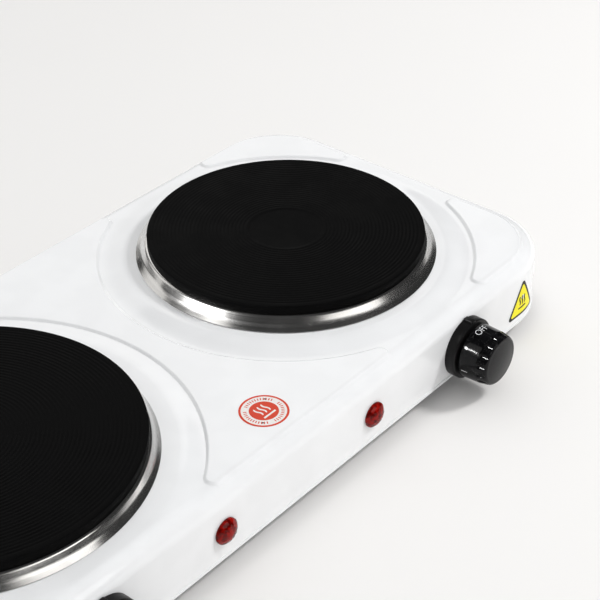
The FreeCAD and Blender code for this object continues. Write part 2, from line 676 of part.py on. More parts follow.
def bezel_pegs(x):
    """Places of the pegs that hold a bezel, both in its upper half."""
    turns = [math.radians(angle) for angle in BEZEL_PEG_ANGLES]
    return [(x + BEZEL_PEG_CIRCLE_R * math.cos(turn), KNOB_HEIGHT + BEZEL_PEG_CIRCLE_R * math.sin(turn))
            for turn in turns]


def dial_bezel(x):
    """Fixed collar behind the knob, pegged to the wall, with a pointer nub at the top."""
    body = spindle(x, KNOB_HEIGHT, FRONT_Y, BEZEL_DEPTH, BEZEL_R)
    nub = box(x, FRONT_Y - BEZEL_DEPTH / 2, KNOB_HEIGHT + BEZEL_R - BEZEL_WALL,
              BEZEL_NUB_WIDTH, BEZEL_DEPTH, BEZEL_WALL + BEZEL_NUB_RISE)
    body = body.fuse(nub)
    peg_length = HOUSING_SHEET + BEZEL_DEPTH - BEZEL_WEB / 2
    pegs = [spindle(peg_x, peg_z, INNER_FRONT_Y, peg_length, BEZEL_PEG_R)
            for peg_x, peg_z in bezel_pegs(x)]
    cavity = spindle(x, KNOB_HEIGHT, FRONT_Y + CUT_OVERRUN,
                     BEZEL_DEPTH - BEZEL_WEB + CUT_OVERRUN, BEZEL_R - BEZEL_WALL)
    bore = spindle(x, KNOB_HEIGHT, FRONT_Y + CUT_OVERRUN, BEZEL_DEPTH + 2 * CUT_OVERRUN,
                   BEZEL_BORE_R)
    relief = Part.makeBox(2 * BEZEL_R, 2 * (HEM_LIP + FIT_GAP), HEM_HEIGHT + FIT_GAP + FOOT_GAP,
                          vec(x - BEZEL_R, FRONT_Y - HEM_LIP - FIT_GAP, 0))
    return body.cut([cavity, bore, relief]).multiFuse(pegs).removeSplitter()


def control_knob(x):
    """Hollow knob: smooth skirt, short fluted grip, domed face and a hub with a D bore."""
    rear = BEZEL_DEPTH + KNOB_GAP
    grip = rear + KNOB_SKIRT_LENGTH
    rim = grip + KNOB_GRIP_LENGTH
    face = rim + KNOB_ROUNDING
    profile = [(0, rear), (KNOB_SKIRT_R - KNOB_SKIRT_CHAMFER, rear),
               (KNOB_SKIRT_R, rear + KNOB_SKIRT_CHAMFER), (KNOB_GRIP_R, grip), (KNOB_RIM_R, rim)]
    for step in range(1, KNOB_ROUNDING_STEPS + 1):
        turn = math.pi / 2 * step / KNOB_ROUNDING_STEPS
        profile.append((KNOB_RIM_R - KNOB_ROUNDING * (1 - math.cos(turn)),
                        rim + KNOB_ROUNDING * math.sin(turn)))
    face_r = profile[-1][0]
    for step in range(1, KNOB_DOME_STEPS + 1):
        share = 1 - step / KNOB_DOME_STEPS
        profile.append((face_r * share, face + KNOB_DOME * (1 - share ** 2)))
    body = turned_on_wall(profile, x, KNOB_HEIGHT)
    cavity_end = face - KNOB_FACE
    cavity_y = FRONT_Y - rear + CUT_OVERRUN
    wide = spindle(x, KNOB_HEIGHT, cavity_y, KNOB_SKIRT_LENGTH - KNOB_CAVITY_STEP + CUT_OVERRUN,
                   KNOB_SKIRT_R - KNOB_WALL)
    narrow = spindle(x, KNOB_HEIGHT, cavity_y, cavity_end - rear + CUT_OVERRUN,
                     FLUTE_CENTRE_R - FLUTE_R - KNOB_WALL)
    body = body.cut([wide, narrow])
    hub_start = FRONT_Y - rear + KNOB_HUB_REACH
    hub_length = cavity_end - rear + KNOB_HUB_REACH + FUSE_OVERLAP
    hub = spindle(x, KNOB_HEIGHT, hub_start, hub_length, KNOB_HUB_R)
    body = body.fuse(hub)
    bore_length = SHAFT_OUTSIDE + KNOB_BORE_GAP + hub_start - FRONT_Y + CUT_OVERRUN
    bore = spindle(x, KNOB_HEIGHT, hub_start + CUT_OVERRUN, bore_length, SHAFT_R + SLIP)
    key_y = FRONT_Y - SHAFT_ROUND_LENGTH - FIT_GAP
    key = Part.makeBox(2 * KNOB_HUB_R, SHAFT_OUTSIDE, KNOB_HUB_R,
                       vec(x - KNOB_HUB_R, key_y - SHAFT_OUTSIDE,
                           KNOB_HEIGHT - SHAFT_FLAT - SLIP - KNOB_HUB_R))
    body = body.cut(bore.cut(key))
    flutes = []
    for index in range(FLUTE_COUNT):
        turn = math.radians(360 / FLUTE_COUNT * (index + 0.5))
        fx = x + FLUTE_CENTRE_R * math.cos(turn)
        fz = KNOB_HEIGHT + FLUTE_CENTRE_R * math.sin(turn)
        start = FRONT_Y - grip - FLUTE_R
        groove = spindle(fx, fz, start, KNOB_GRIP_LENGTH + KNOB_ROUNDING + CUT_OVERRUN, FLUTE_R)
        flutes.append(groove.fuse(Part.makeSphere(FLUTE_R, vec(fx, start, fz))))
    return body.cut(flutes).removeSplitter()


def lamp_lens(x):
    """Domed lens with a flange on the wall and a hollow barrel through it."""
    dome_r = (LENS_R ** 2 + LENS_DOME ** 2) / (2 * LENS_DOME)
    centre = vec(x, FRONT_Y - LENS_FLANGE - LENS_DOME + dome_r, LAMP_HEIGHT)
    dome = Part.makeSphere(dome_r, centre)
    cap = spindle(x, LAMP_HEIGHT, FRONT_Y - LENS_FLANGE + LENS_DOME_SINK,
                  LENS_DOME + CUT_OVERRUN, LENS_R + CUT_OVERRUN)
    flange = spindle(x, LAMP_HEIGHT, FRONT_Y, LENS_FLANGE, LENS_R)
    inside = LENS_BARREL_LENGTH + HOUSING_SHEET
    barrel = spindle(x, LAMP_HEIGHT, FRONT_Y + inside, inside + FUSE_OVERLAP,
                     LENS_BARREL_R)
    body = dome.common(cap).multiFuse([flange, barrel]).removeSplitter()
    hollow = spindle(x, LAMP_HEIGHT, FRONT_Y + inside + CUT_OVERRUN, inside + CUT_OVERRUN,
                     LENS_BARREL_R - LENS_WALL)
    return body.cut(hollow)


def lamp_bulb(x):
    rear = FRONT_Y + LENS_BARREL_LENGTH + HOUSING_SHEET
    length = LENS_BARREL_LENGTH - BULB_R - BULB_END_GAP
    glass = spindle(x, LAMP_HEIGHT, rear, length, BULB_R)
    return glass.fuse(Part.makeSphere(BULB_R, vec(x, rear - length, LAMP_HEIGHT))).removeSplitter()


def lamp_holder(x):
    rear = FRONT_Y + LENS_BARREL_LENGTH + HOUSING_SHEET
    return spindle(x, LAMP_HEIGHT, rear + HOLDER_LENGTH, HOLDER_LENGTH, HOLDER_R)


def lamp_retainer(x):
    start = INNER_FRONT_Y + RETAINER_SHEET
    disc = spindle(x, LAMP_HEIGHT, start, RETAINER_SHEET, RETAINER_R)
    return disc.cut(spindle(x, LAMP_HEIGHT, start + CUT_OVERRUN,
                            RETAINER_SHEET + 2 * CUT_OVERRUN, LENS_BARREL_R + SLIP))


def port_x(index):
    return SUPPLY_X + (index - (PORT_COUNT - 1) / 2) * PORT_SPACING


def terminal_block():
    length, depth, height = BLOCK_SIZE
    body = box(SUPPLY_X, BLOCK_Y, TRAY_TOP, length, depth, height)
    cutters = []
    for index in range(PORT_COUNT):
        x = port_x(index)
        cutters.append(spindle(x, PORT_Z, BLOCK_Y + depth, 2 * depth, PORT_R))
        top = TRAY_TOP + height
        cutters.append(post(x, BLOCK_Y, top - TERMINAL_SCREW_DEPTH - END_GAP,
                            top + CUT_OVERRUN, TERMINAL_SCREW_R + SLIP))
    return body.cut(cutters)


def terminal_screw(index):
    top = TRAY_TOP + BLOCK_SIZE[2]
    shank = post(port_x(index), BLOCK_Y, top - TERMINAL_SCREW_DEPTH, top, TERMINAL_SCREW_R)
    return shank.cut(box(port_x(index), BLOCK_Y, top - TERMINAL_SLOT_DEPTH,
                         2 * TERMINAL_SCREW_R + CUT_OVERRUN, TERMINAL_SLOT_WIDTH, CUT_OVERRUN))


def earth_screw():
    """Screw up through the tray with a hexagon nut on top of it."""
    head = post(EARTH_X, BLOCK_Y, TRAY_BOTTOM - SCREW_HEAD_HEIGHT / 2, TRAY_BOTTOM, SCREW_HEAD_R)
    shank = post(EARTH_X, BLOCK_Y, TRAY_BOTTOM - FUSE_OVERLAP, TRAY_TOP + EARTH_SCREW_REACH, SCREW_R)
    nut = hex_nut(EARTH_X, BLOCK_Y, TRAY_TOP, EARTH_NUT_ACROSS_FLATS, EARTH_NUT_HEIGHT,
                  SCREW_R + SLIP)
    return [head.fuse(shank).removeSplitter(), nut]


def cord_gland():
    """Bush in the back wall: outer flange, barrel through the hole and a lip inside."""
    length = GLAND_FLANGE + HOUSING_SHEET + GLAND_LIP
    bore = spindle(SUPPLY_X, GLAND_HEIGHT, BACK_Y + GLAND_FLANGE + CUT_OVERRUN,
                   length + 2 * CUT_OVERRUN, GLAND_BORE_R)
    flange = spindle(SUPPLY_X, GLAND_HEIGHT, BACK_Y + GLAND_FLANGE, GLAND_FLANGE, GLAND_FLANGE_R)
    barrel = spindle(SUPPLY_X, GLAND_HEIGHT, BACK_Y + GLAND_FLANGE, length, GLAND_BARREL_R)
    lip = spindle(SUPPLY_X, GLAND_HEIGHT, INNER_BACK_Y, GLAND_LIP, GLAND_LIP_R)
    return flange.multiFuse([barrel, lip]).cut(bore)


def wires(side):
    """Supply, return, load and lamp leads of one burner."""
    sign = SIDES[side]
    burner = BURNERS[side]
    knob_x = sign * KNOB_OFFSET
    lamp_x = sign * LAMP_OFFSET
    block_front = BLOCK_Y - BLOCK_SIZE[1] / 2
    live_x = port_x(3 if sign > 0 else 0)
    return_x = port_x(2 if sign > 0 else 1)
    tab_end = INNER_FRONT_Y + BRACKET_SIZE[1] + THERMOSTAT_SIZE[1] + TAB_LENGTH
    pin_y = burner["pin_y"]
    pin_in = burner["x"] - sign * COIL_PIN_X
    pin_out = burner["x"] + sign * COIL_PIN_X
    pin_z = pin_tip_z()
    load_x = knob_x + sign * TAB_SPACING
    lamp_tab_x = knob_x - sign * TAB_SPACING
    holder_end = FRONT_Y + LENS_BARREL_LENGTH + HOUSING_SHEET + HOLDER_LENGTH
    lamp_in_x = lamp_x + sign * LAMP_LEAD_X
    lamp_out_x = lamp_x - sign * LAMP_LEAD_X
    supply = rod([vec(live_x, block_front + WIRE_ENTRY, PORT_Z),
                  vec(live_x, block_front - SUPPLY_STRAIGHT, PORT_Z),
                  vec(knob_x, tab_end + SUPPLY_STRAIGHT, PORT_Z),
                  vec(knob_x, tab_end + TAB_STRAIGHT, KNOB_HEIGHT),
                  vec(knob_x, tab_end, KNOB_HEIGHT)], WIRE_R)
    back = rod([vec(return_x, block_front + WIRE_ENTRY, PORT_Z),
                vec(return_x, block_front - RETURN_STRAIGHT, PORT_Z),
                vec(pin_in, pin_y, PORT_Z),
                vec(pin_in, pin_y, pin_z)], WIRE_R)
    load = rod([vec(load_x, tab_end, KNOB_HEIGHT),
                vec(load_x, tab_end + LOAD_STRAIGHT, KNOB_HEIGHT),
                vec(pin_out, pin_y, pin_z - PIN_STRAIGHT),
                vec(pin_out, pin_y, pin_z)], WIRE_R)
    lamp_live = rod([vec(lamp_tab_x, tab_end, KNOB_HEIGHT),
                     vec(lamp_tab_x, tab_end + TAB_STRAIGHT, KNOB_HEIGHT),
                     vec(lamp_in_x, holder_end + LAMP_STRAIGHT, LAMP_HEIGHT),
                     vec(lamp_in_x, holder_end, LAMP_HEIGHT)], WIRE_R)
    side_z = pin_z + COIL_TUBE_R
    lamp_return = rod([vec(lamp_out_x, holder_end, LAMP_HEIGHT),
                       vec(lamp_out_x, holder_end + LAMP_RETURN_STRAIGHT, LAMP_HEIGHT),
                       vec(lamp_out_x, holder_end + LAMP_RETURN_RUN,
                           LAMP_HEIGHT + LAMP_RETURN_RISE),
                       vec(pin_in - sign * LAMP_RETURN_SIDE, pin_y, side_z),
                       vec(pin_in - sign * (COIL_TUBE_R + SLIP), pin_y, side_z)], WIRE_R)
    return [supply, back, load, lamp_live, lamp_return]


def round_sticker():
    return post(0, FRONT_Y + STICKER_INSET, ISLAND_Z, ISLAND_Z + STICKER_SHEET, STICKER_R)


def hot_surface_label():
    """Triangular foil that wraps round the front right corner of the wall."""
    corner_x = HOUSING_LENGTH / 2 - HOUSING_CORNER_R
    corner_y = FRONT_Y + HOUSING_CORNER_R
    foil_r = HOUSING_CORNER_R + SLIP
    base_z = FOOT_GAP + LABEL_BASE_HEIGHT
    height = LABEL_SIDE * math.sqrt(3) / 2
    centre = corner_x + LABEL_WRAP_SHIFT
    corners = [(centre - LABEL_SIDE / 2, base_z), (centre + LABEL_SIDE / 2, base_z),
               (centre, base_z + height)]
    outline = [vec(a, 0, b) for a, b in corners]
    face = Part.Face(Part.makePolygon(outline + outline[:1]))
    face = face.makeOffset2D(-LABEL_CORNER_R).makeOffset2D(LABEL_CORNER_R)
    prism = face.Faces[0].extrude(vec(0, 2 * FRONT_Y, 0))
    outer = slab(HOUSING_LENGTH + 2 * (SLIP + LABEL_SHEET), HOUSING_DEPTH + 2 * (SLIP + LABEL_SHEET),
                 foil_r + LABEL_SHEET, FOOT_GAP, DECK_Z)
    inner = slab(HOUSING_LENGTH + 2 * SLIP, HOUSING_DEPTH + 2 * SLIP, foil_r,
                 FOOT_GAP - CUT_OVERRUN, DECK_Z + CUT_OVERRUN)
    return outer.cut(inner).common(prism)


os.makedirs("parts", exist_ok=True)

export("top_housing", top_housing())
export("base_tray", base_tray())
export("corner_posts", [corner_post(x, y) for x, y in POSTS])
export("rubber_feet", [rubber_foot(x, y) for x, y in POSTS])
export("foot_screws", [foot_screw(x, y) for x, y in POSTS])
export("terminal_block", terminal_block())
export("terminal_screws", [terminal_screw(index) for index in range(PORT_COUNT)])
export("earth_screw", earth_screw())
export("cord_gland", cord_gland())
export("round_sticker", round_sticker())
export("hot_surface_label", hot_surface_label())

for side, burner in BURNERS.items():
    export("hotplate_" + side, hotplate(burner))
    export("spill_ring_" + side, spill_ring(burner))
    export("heating_coil_" + side, heating_coil(burner, COIL_TUBE_R, pin_tip_z()))
    export("ceramic_filling_" + side, ceramic_filling(burner))
    export("plate_cover_" + side, plate_cover(burner))
    export("terminal_insulator_" + side, terminal_insulator(burner))
    export("clamp_stud_" + side, clamp_stud(burner))
    export("clamp_bridge_" + side, clamp_bridge(burner))
    export("clamp_nut_" + side, clamp_nut(burner))
    export("wires_" + side, wires(side))

for side, sign in SIDES.items():
    axis_x = sign * KNOB_OFFSET
    lamp_x = sign * LAMP_OFFSET
    export("thermostat_bracket_" + side, thermostat_bracket(axis_x))
    export("thermostat_body_" + side, thermostat_body(axis_x))
    export("thermostat_tabs_" + side, thermostat_tabs(axis_x))
    export("thermostat_screws_" + side,
           [thermostat_screw(axis_x + s * THERMOSTAT_SCREW_X) for s in (-1, 1)])
    export("thermostat_shaft_" + side, thermostat_shaft(axis_x))
    export("dial_bezel_" + side, dial_bezel(axis_x))
    export("control_knob_" + side, control_knob(axis_x))
    export("lamp_lens_" + side, lamp_lens(lamp_x))
    export("lamp_bulb_" + side, lamp_bulb(lamp_x))
    export("lamp_holder_" + side, lamp_holder(lamp_x))
    export("lamp_retainer_" + side, lamp_retainer(lamp_x))
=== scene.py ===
import math

import bmesh
import bpy
import numpy as np
from bpy.props import (FloatProperty, FloatVectorProperty, IntProperty, PointerProperty,
                       StringProperty)
from mathutils import Matrix, Vector
from mathutils.geometry import delaunay_2d_cdt


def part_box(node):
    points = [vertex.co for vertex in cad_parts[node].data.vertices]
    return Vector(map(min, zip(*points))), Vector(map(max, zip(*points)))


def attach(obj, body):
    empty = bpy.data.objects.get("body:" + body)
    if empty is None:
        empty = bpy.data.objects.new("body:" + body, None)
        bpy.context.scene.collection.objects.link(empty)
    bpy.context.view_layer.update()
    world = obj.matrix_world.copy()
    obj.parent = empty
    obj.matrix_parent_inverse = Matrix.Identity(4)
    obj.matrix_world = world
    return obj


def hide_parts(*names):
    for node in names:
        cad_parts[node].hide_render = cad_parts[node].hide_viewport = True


bl_info = {
    "name": "Double Hot Plate",
    "version": (1, 0, 0),
    "blender": (4, 5, 0),
    "location": "View3D > Sidebar > Hot Plate",
    "description": "Builds the visible pieces and finishes of a table-top double cooker",
    "category": "Object",
}

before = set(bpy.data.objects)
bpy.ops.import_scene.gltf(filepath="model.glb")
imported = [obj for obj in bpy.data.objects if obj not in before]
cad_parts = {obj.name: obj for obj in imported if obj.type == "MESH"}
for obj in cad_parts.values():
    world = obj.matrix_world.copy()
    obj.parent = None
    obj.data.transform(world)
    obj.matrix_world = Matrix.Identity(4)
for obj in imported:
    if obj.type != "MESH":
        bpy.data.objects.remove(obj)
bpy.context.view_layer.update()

MM = 0.001
SIDES = ("left", "right")
WELD = 1e-6
UPRIGHT = (0.0, 0.0, 1.0)
OUT_OF_WALL = (0.0, -1.0, 0.0)

# Depths behind the front wall's face and inside the back wall, in millimetres.
BEZEL_INSET = 0.8
GLAND_INSET = 2.3

# Holes in the walls, in millimetres.
DIAL_HOLE_R = 5.5
LAMP_HOLE_R = 5.2
LEAD_HOLE_R = 6.6
PEG_HOLE_R = 1.55
PEG_CIRCLE_R = 13.6
PEG_TURNS = (50.0, 130.0)

# Facets of the holes, and spacing of the points along the walls in millimetres.
OPENING_FACETS = 240
HOLE_FACETS = 32
WALL_STEP = 3.0

HOUSING_LOW, HOUSING_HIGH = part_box("top_housing")
LEDGE_Z = HOUSING_HIGH.z
MIDDLE = (HOUSING_LOW + HOUSING_HIGH) / 2
PLATE_BOX = {side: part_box("hotplate_" + side) for side in SIDES}
RING_BOX = {side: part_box("spill_ring_" + side) for side in SIDES}
BEZEL_BOX = {side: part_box("dial_bezel_" + side) for side in SIDES}
KNOB_BOX = {side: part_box("control_knob_" + side) for side in SIDES}
LENS_BOX = {side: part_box("lamp_lens_" + side) for side in SIDES}
GLAND_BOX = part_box("cord_gland")
FOOT_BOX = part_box("rubber_feet")
SCREW_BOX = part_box("foot_screws")
STICKER_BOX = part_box("round_sticker")
LABEL_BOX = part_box("hot_surface_label")
FRONT_Y = BEZEL_BOX["left"][1].y - BEZEL_INSET * MM
BACK_Y = GLAND_BOX[0].y + GLAND_INSET * MM


def centre(box):
    return (box[0] + box[1]) / 2


def size(name, description, millimetres):
    """A length that a user may change, stored in metres."""
    return FloatProperty(name=name, description=description, default=millimetres * MM,
                         unit="LENGTH", precision=5)


def colour(name, description, red, green, blue):
    return FloatVectorProperty(name=name, description=description, subtype="COLOR", size=3,
                               min=0.0, max=1.0, default=(red, green, blue))


class HousingSizes(bpy.types.PropertyGroup):
    """Enamelled top housing."""

    corner_radius: size("Corner radius", "Radius of the upright corners", 43.0)
    edge_radius: size("Edge radius", "Rounding between the deck and the walls", 9.0)
    sheet: size("Sheet", "Thickness of the enamelled sheet", 0.8)
    collar_rise: size("Collar rise", "Height of the ledges above the deck", 2.5)
    collar_run: size("Collar run", "Width of the slope from a ledge down to the deck", 15.0)
    ledge_large: size("Large ledge", "Flat ledge outside the large spill ring", 8.0)
    ledge_small: size("Small ledge", "Flat ledge outside the small spill ring", 4.0)
    ledge_overlap: size("Ledge overlap", "How far the ledge reaches in under a spill ring", 4.7)
    island_rise: size("Island rise", "Height of the raised fields above the deck", 1.2)
    island_margin: size("Island margin", "Deck left at front and back of the raised fields", 6.0)
    island_side_margin: size("Island side margin", "Deck left beside the raised fields", 9.7)
    island_corner: size("Island corner", "Corner radius of the raised fields", 38.0)
    island_clearance: size("Island clearance", "Deck left between ring and raised field", 21.3)
    island_tip: size("Island tip", "Rounding of the pointed ends of the raised fields", 4.5)
    island_edge: size("Island edge", "Width of the slope round a raised field", 2.4)
    hem_lip: size("Hem lip", "How far the hem stands proud of the wall", 0.5)
    hem_height: size("Hem height", "Height of the hem", 2.0)


class BurnerSizes(bpy.types.PropertyGroup):
    """Cast-iron plates and spill rings."""

    rim_height: size("Rim height", "Height of the plate's outer band", 5.0)
    chamfer: size("Chamfer", "Rounding of the plate's upper edge", 0.6)
    dish_radius: size("Dish radius", "Radius of the smooth hollow in the middle", 19.5)
    dish_depth: size("Dish depth", "Depth of the smooth hollow in the middle", 0.3)
    groove_pitch: size("Groove pitch", "Distance between turned grooves", 2.1)
    groove_depth: size("Groove depth", "Depth of the turned grooves", 0.12)
    ring_sheet: size("Ring sheet", "Thickness of the spill ring's band", 0.6)
    segments: IntProperty(name="Segments", description="Facets round a plate", default=256,
                          min=32)


class DialSizes(bpy.types.PropertyGroup):
    """Dials and their bezels."""

    skirt_length: size("Skirt length", "Length of the smooth skirt", 10.6)
    grip_length: size("Grip length", "Length of the fluted end", 3.6)
    rounding: size("Rounding", "Rounding between the fluted end and the face", 2.3)
    dome: size("Dome", "Height of the domed face", 0.9)
    flute_count: IntProperty(name="Flutes", description="Number of flutes", default=16, min=3)
    flute_radius: size("Flute radius", "Radius of one flute", 1.7)
    flute_circle: size("Flute circle", "Radius of the circle the flutes are centred on", 15.3)
    mark_height: size("Mark height", "Height of the printed marks", 3.7)
    off_mark: StringProperty(name="Off mark", description="Mark at the top", default="OFF")
    steps: IntProperty(name="Steps", description="Number of heat settings", default=5, min=1)


class LampSizes(bpy.types.PropertyGroup):
    """Pilot lamp lenses."""

    flange: size("Flange", "Thickness of the lens flange", 1.2)
    barrel_radius: size("Barrel radius", "Radius of the barrel in the wall", 5.0)
    barrel_wall: size("Barrel wall", "Wall of the barrel", 1.0)
    facets: IntProperty(name="Facets", description="Rays moulded inside the lens", default=12,
                        min=3)


class LabelSizes(bpy.types.PropertyGroup):
    """Round sticker and corner foil."""

    ring_width: size("Ring width", "Width of the sticker's coloured rim", 1.15)
    disc_radius: size("Disc radius", "Radius of the sticker's coloured middle", 7.4)
    tick_count: IntProperty(name="Ticks", description="Ticks round the sticker", default=42,
                            min=6)
    border: size("Border", "Width of the foil's dark border", 1.4)
    corner: size("Foil corner", "Corner radius of the foil", 1.6)


class FootSizes(bpy.types.PropertyGroup):
    """Rubber feet and their screws."""

    top_radius: size("Top radius", "Radius at the tray", 9.0)
    bottom_radius: size("Bottom radius", "Radius at the table", 7.5)
    recess_radius: size("Recess radius", "Radius of the screw's recess", 4.5)
    recess_depth: size("Recess depth", "Depth of the screw's recess", 5.0)
    head_radius: size("Head radius", "Radius of the screw head", 3.6)
    head_height: size("Head height", "Height of the screw head", 2.2)
    shank_radius: size("Shank radius", "Radius of the screw's shank", 1.95)


class FinishColours(bpy.types.PropertyGroup):
    """Colours of the main finishes."""

    enamel: colour("Enamel", "White vitreous enamel", 0.885, 0.888, 0.893)
    iron: colour("Cast iron", "Black-coated cast iron", 0.0026, 0.0026, 0.0027)
    steel: colour("Steel", "Polished stainless steel", 0.80, 0.79, 0.775)
    gloss_black: colour("Gloss black", "Skirt of the dials", 0.004, 0.004, 0.0045)
    matte_black: colour("Matte black", "Bezels and dial faces", 0.0065, 0.0062, 0.0065)
    lens: colour("Lens", "Red lens of the pilot lamps", 0.19, 0.003, 0.0015)
    badge: colour("Badge", "Coloured parts of the sticker", 0.66, 0.055, 0.022)
    foil: colour("Foil", "Yellow of the corner foil", 1.0, 0.86, 0.004)
    ink: colour("Ink", "Dark print", 0.012, 0.011, 0.010)
    mark: colour("Mark", "Light print on the dials", 0.82, 0.83, 0.84)
    floor: colour("Floor", "Studio floor", 0.90, 0.885, 0.868)


class StageSettings(bpy.types.PropertyGroup):
    """Camera, floor and lights."""

    lens: FloatProperty(name="Lens", description="Focal length in millimetres", default=96.806)
    place: FloatVectorProperty(name="Place", description="Place of the camera", size=3,
                               subtype="TRANSLATION", unit="LENGTH", precision=5,
                               default=(-0.46001, -0.48722, 0.53656))
    heading: FloatProperty(name="Heading", description="Turn from the back towards the right",
                           subtype="ANGLE", default=math.radians(49.813))
    pitch: FloatProperty(name="Pitch", description="Tilt downwards", subtype="ANGLE",
                         default=math.radians(34.394))
    roll: FloatProperty(name="Roll", description="Turn about the line of sight",
                        subtype="ANGLE", default=math.radians(-0.530))
    floor_size: FloatProperty(name="Floor", description="Side of the floor", unit="LENGTH",
                              default=14.0)
    sky: FloatProperty(name="Sky", description="Strength of the even light all round",
                       default=0.72)
    sheen: FloatProperty(name="Sheen", description="Strength of the sky in reflections",
                         default=0.035)
    key: FloatProperty(name="Key", description="Power of the softbox at the right",
                       default=17.0)
    side: FloatProperty(name="Side", description="Power of the lamp at the left", default=22.0)
    card_radius: FloatProperty(name="Card radius", description="Distance of the light cards",
                               unit="LENGTH", default=3.0)


GROUPS = {
    "housing": HousingSizes,
    "burner": BurnerSizes,
    "dial": DialSizes,
    "lamp": LampSizes,
    "label": LabelSizes,
    "foot": FootSizes,
    "colours": FinishColours,
    "stage": StageSettings,
}


def settings(group):
    return getattr(bpy.context.scene, "hotplate_" + group)


# ---------------------------------------------------------------- node helpers

def add(tree, kind, **values):
    made = tree.nodes.new(kind)
    for name, value in values.items():
        setattr(made, name, value)
    return made


def feed(tree, socket, value):
    """Links a socket to another socket, or sets it to a plain value."""
    if isinstance(value, bpy.types.NodeSocket):
        tree.links.new(value, socket)
    else:
        socket.default_value = value


def wire(tree, inputs, **values):
    """Feeds several named sockets; an underscore in a name stands for a space."""
    for name, value in values.items():
        feed(tree, inputs[name.replace("_", " ")], value)


def maths(tree, operation, *values):
    made = add(tree, "ShaderNodeMath", operation=operation)
    for socket, value in zip(made.inputs, values):
        feed(tree, socket, value)
    return made.outputs[0]


def vectors(tree, operation, *values):
    made = add(tree, "ShaderNodeVectorMath", operation=operation)
    for socket, value in zip(made.inputs, values):
        feed(tree, socket, value)
    return made.outputs["Value" if operation in ("LENGTH", "DOT_PRODUCT") else "Vector"]


def new_group(name, kind, inputs, outputs):
    """A node group with named sockets; returns it with its input and output nodes."""
    tree = bpy.data.node_groups.new(name, kind)
    for label, socket_type, default in inputs:
        made = tree.interface.new_socket(name=label, in_out="INPUT", socket_type=socket_type)
        if default is not None:
            made.default_value = default
    for label, socket_type in outputs:
        tree.interface.new_socket(name=label, in_out="OUTPUT", socket_type=socket_type)
    return tree, add(tree, "NodeGroupInput").outputs, add(tree, "NodeGroupOutput").inputs


# ---------------------------------------------------------------- shared surface effects

def grain_group():
    """Cloudy variation: a mask from 0 to 1 and the same thing as a height."""
    name = "Grain"
    if name in bpy.data.node_groups:
        return bpy.data.node_groups[name]
    tree, given, out = new_group(name, "ShaderNodeTree", [
        ("Scale", "NodeSocketFloat", 400.0), ("Detail", "NodeSocketFloat", 4.0),
        ("Low", "NodeSocketFloat", 0.35), ("High", "NodeSocketFloat", 0.65)],
        [("Mask", "NodeSocketFloat"), ("Height", "NodeSocketFloat")])
    place = add(tree, "ShaderNodeTexCoord").outputs["Object"]
    noise = add(tree, "ShaderNodeTexNoise")
    wire(tree, noise.inputs, Vector=place, Scale=given["Scale"], Detail=given["Detail"])
    span = add(tree, "ShaderNodeMapRange", interpolation_type="SMOOTHSTEP")
    feed(tree, span.inputs[0], noise.outputs["Fac"])
    feed(tree, span.inputs[1], given["Low"])
    feed(tree, span.inputs[2], given["High"])
    wire(tree, out, Mask=span.outputs[0], Height=noise.outputs["Fac"])
    return tree


def turning_group():
    """Fine circular tool lines round an axis, broken up a little."""
    name = "Turning Lines"
    if name in bpy.data.node_groups:
        return bpy.data.node_groups[name]
    tree, given, out = new_group(name, "ShaderNodeTree", [
        ("Centre", "NodeSocketVector", (0.0, 0.0, 0.0)),
        ("Axis", "NodeSocketVector", (0.0, 0.0, 1.0)),
        ("Pitch", "NodeSocketFloat", 0.0003), ("Waver", "NodeSocketFloat", 0.3)],
        [("Mask", "NodeSocketFloat"), ("Height", "NodeSocketFloat")])
    place = add(tree, "ShaderNodeTexCoord").outputs["Object"]
    arm = vectors(tree, "SUBTRACT", place, given["Centre"])
    along = vectors(tree, "DOT_PRODUCT", arm, given["Axis"])
    shift = add(tree, "ShaderNodeVectorMath", operation="SCALE")
    feed(tree, shift.inputs[0], given["Axis"])
    feed(tree, shift.inputs["Scale"], along)
    radius = vectors(tree, "LENGTH", vectors(tree, "SUBTRACT", arm, shift.outputs[0]))
    rings = maths(tree, "DIVIDE", maths(tree, "ADD", radius, along), given["Pitch"])
    streaks = add(tree, "ShaderNodeTexNoise", noise_dimensions="1D")
    wire(tree, streaks.inputs, W=rings, Scale=1.0, Detail=3.0)
    patches = add(tree, "ShaderNodeTexNoise")
    wire(tree, patches.inputs, Vector=place, Scale=60.0)
    blend = maths(tree, "MULTIPLY_ADD", patches.outputs["Fac"], given["Waver"],
                  streaks.outputs["Fac"])
    span = add(tree, "ShaderNodeMapRange")
    feed(tree, span.inputs[0], blend)
    span.inputs[1].default_value = 0.3
    span.inputs[2].default_value = 0.9
    wire(tree, out, Mask=span.outputs[0], Height=streaks.outputs["Fac"])
    return tree


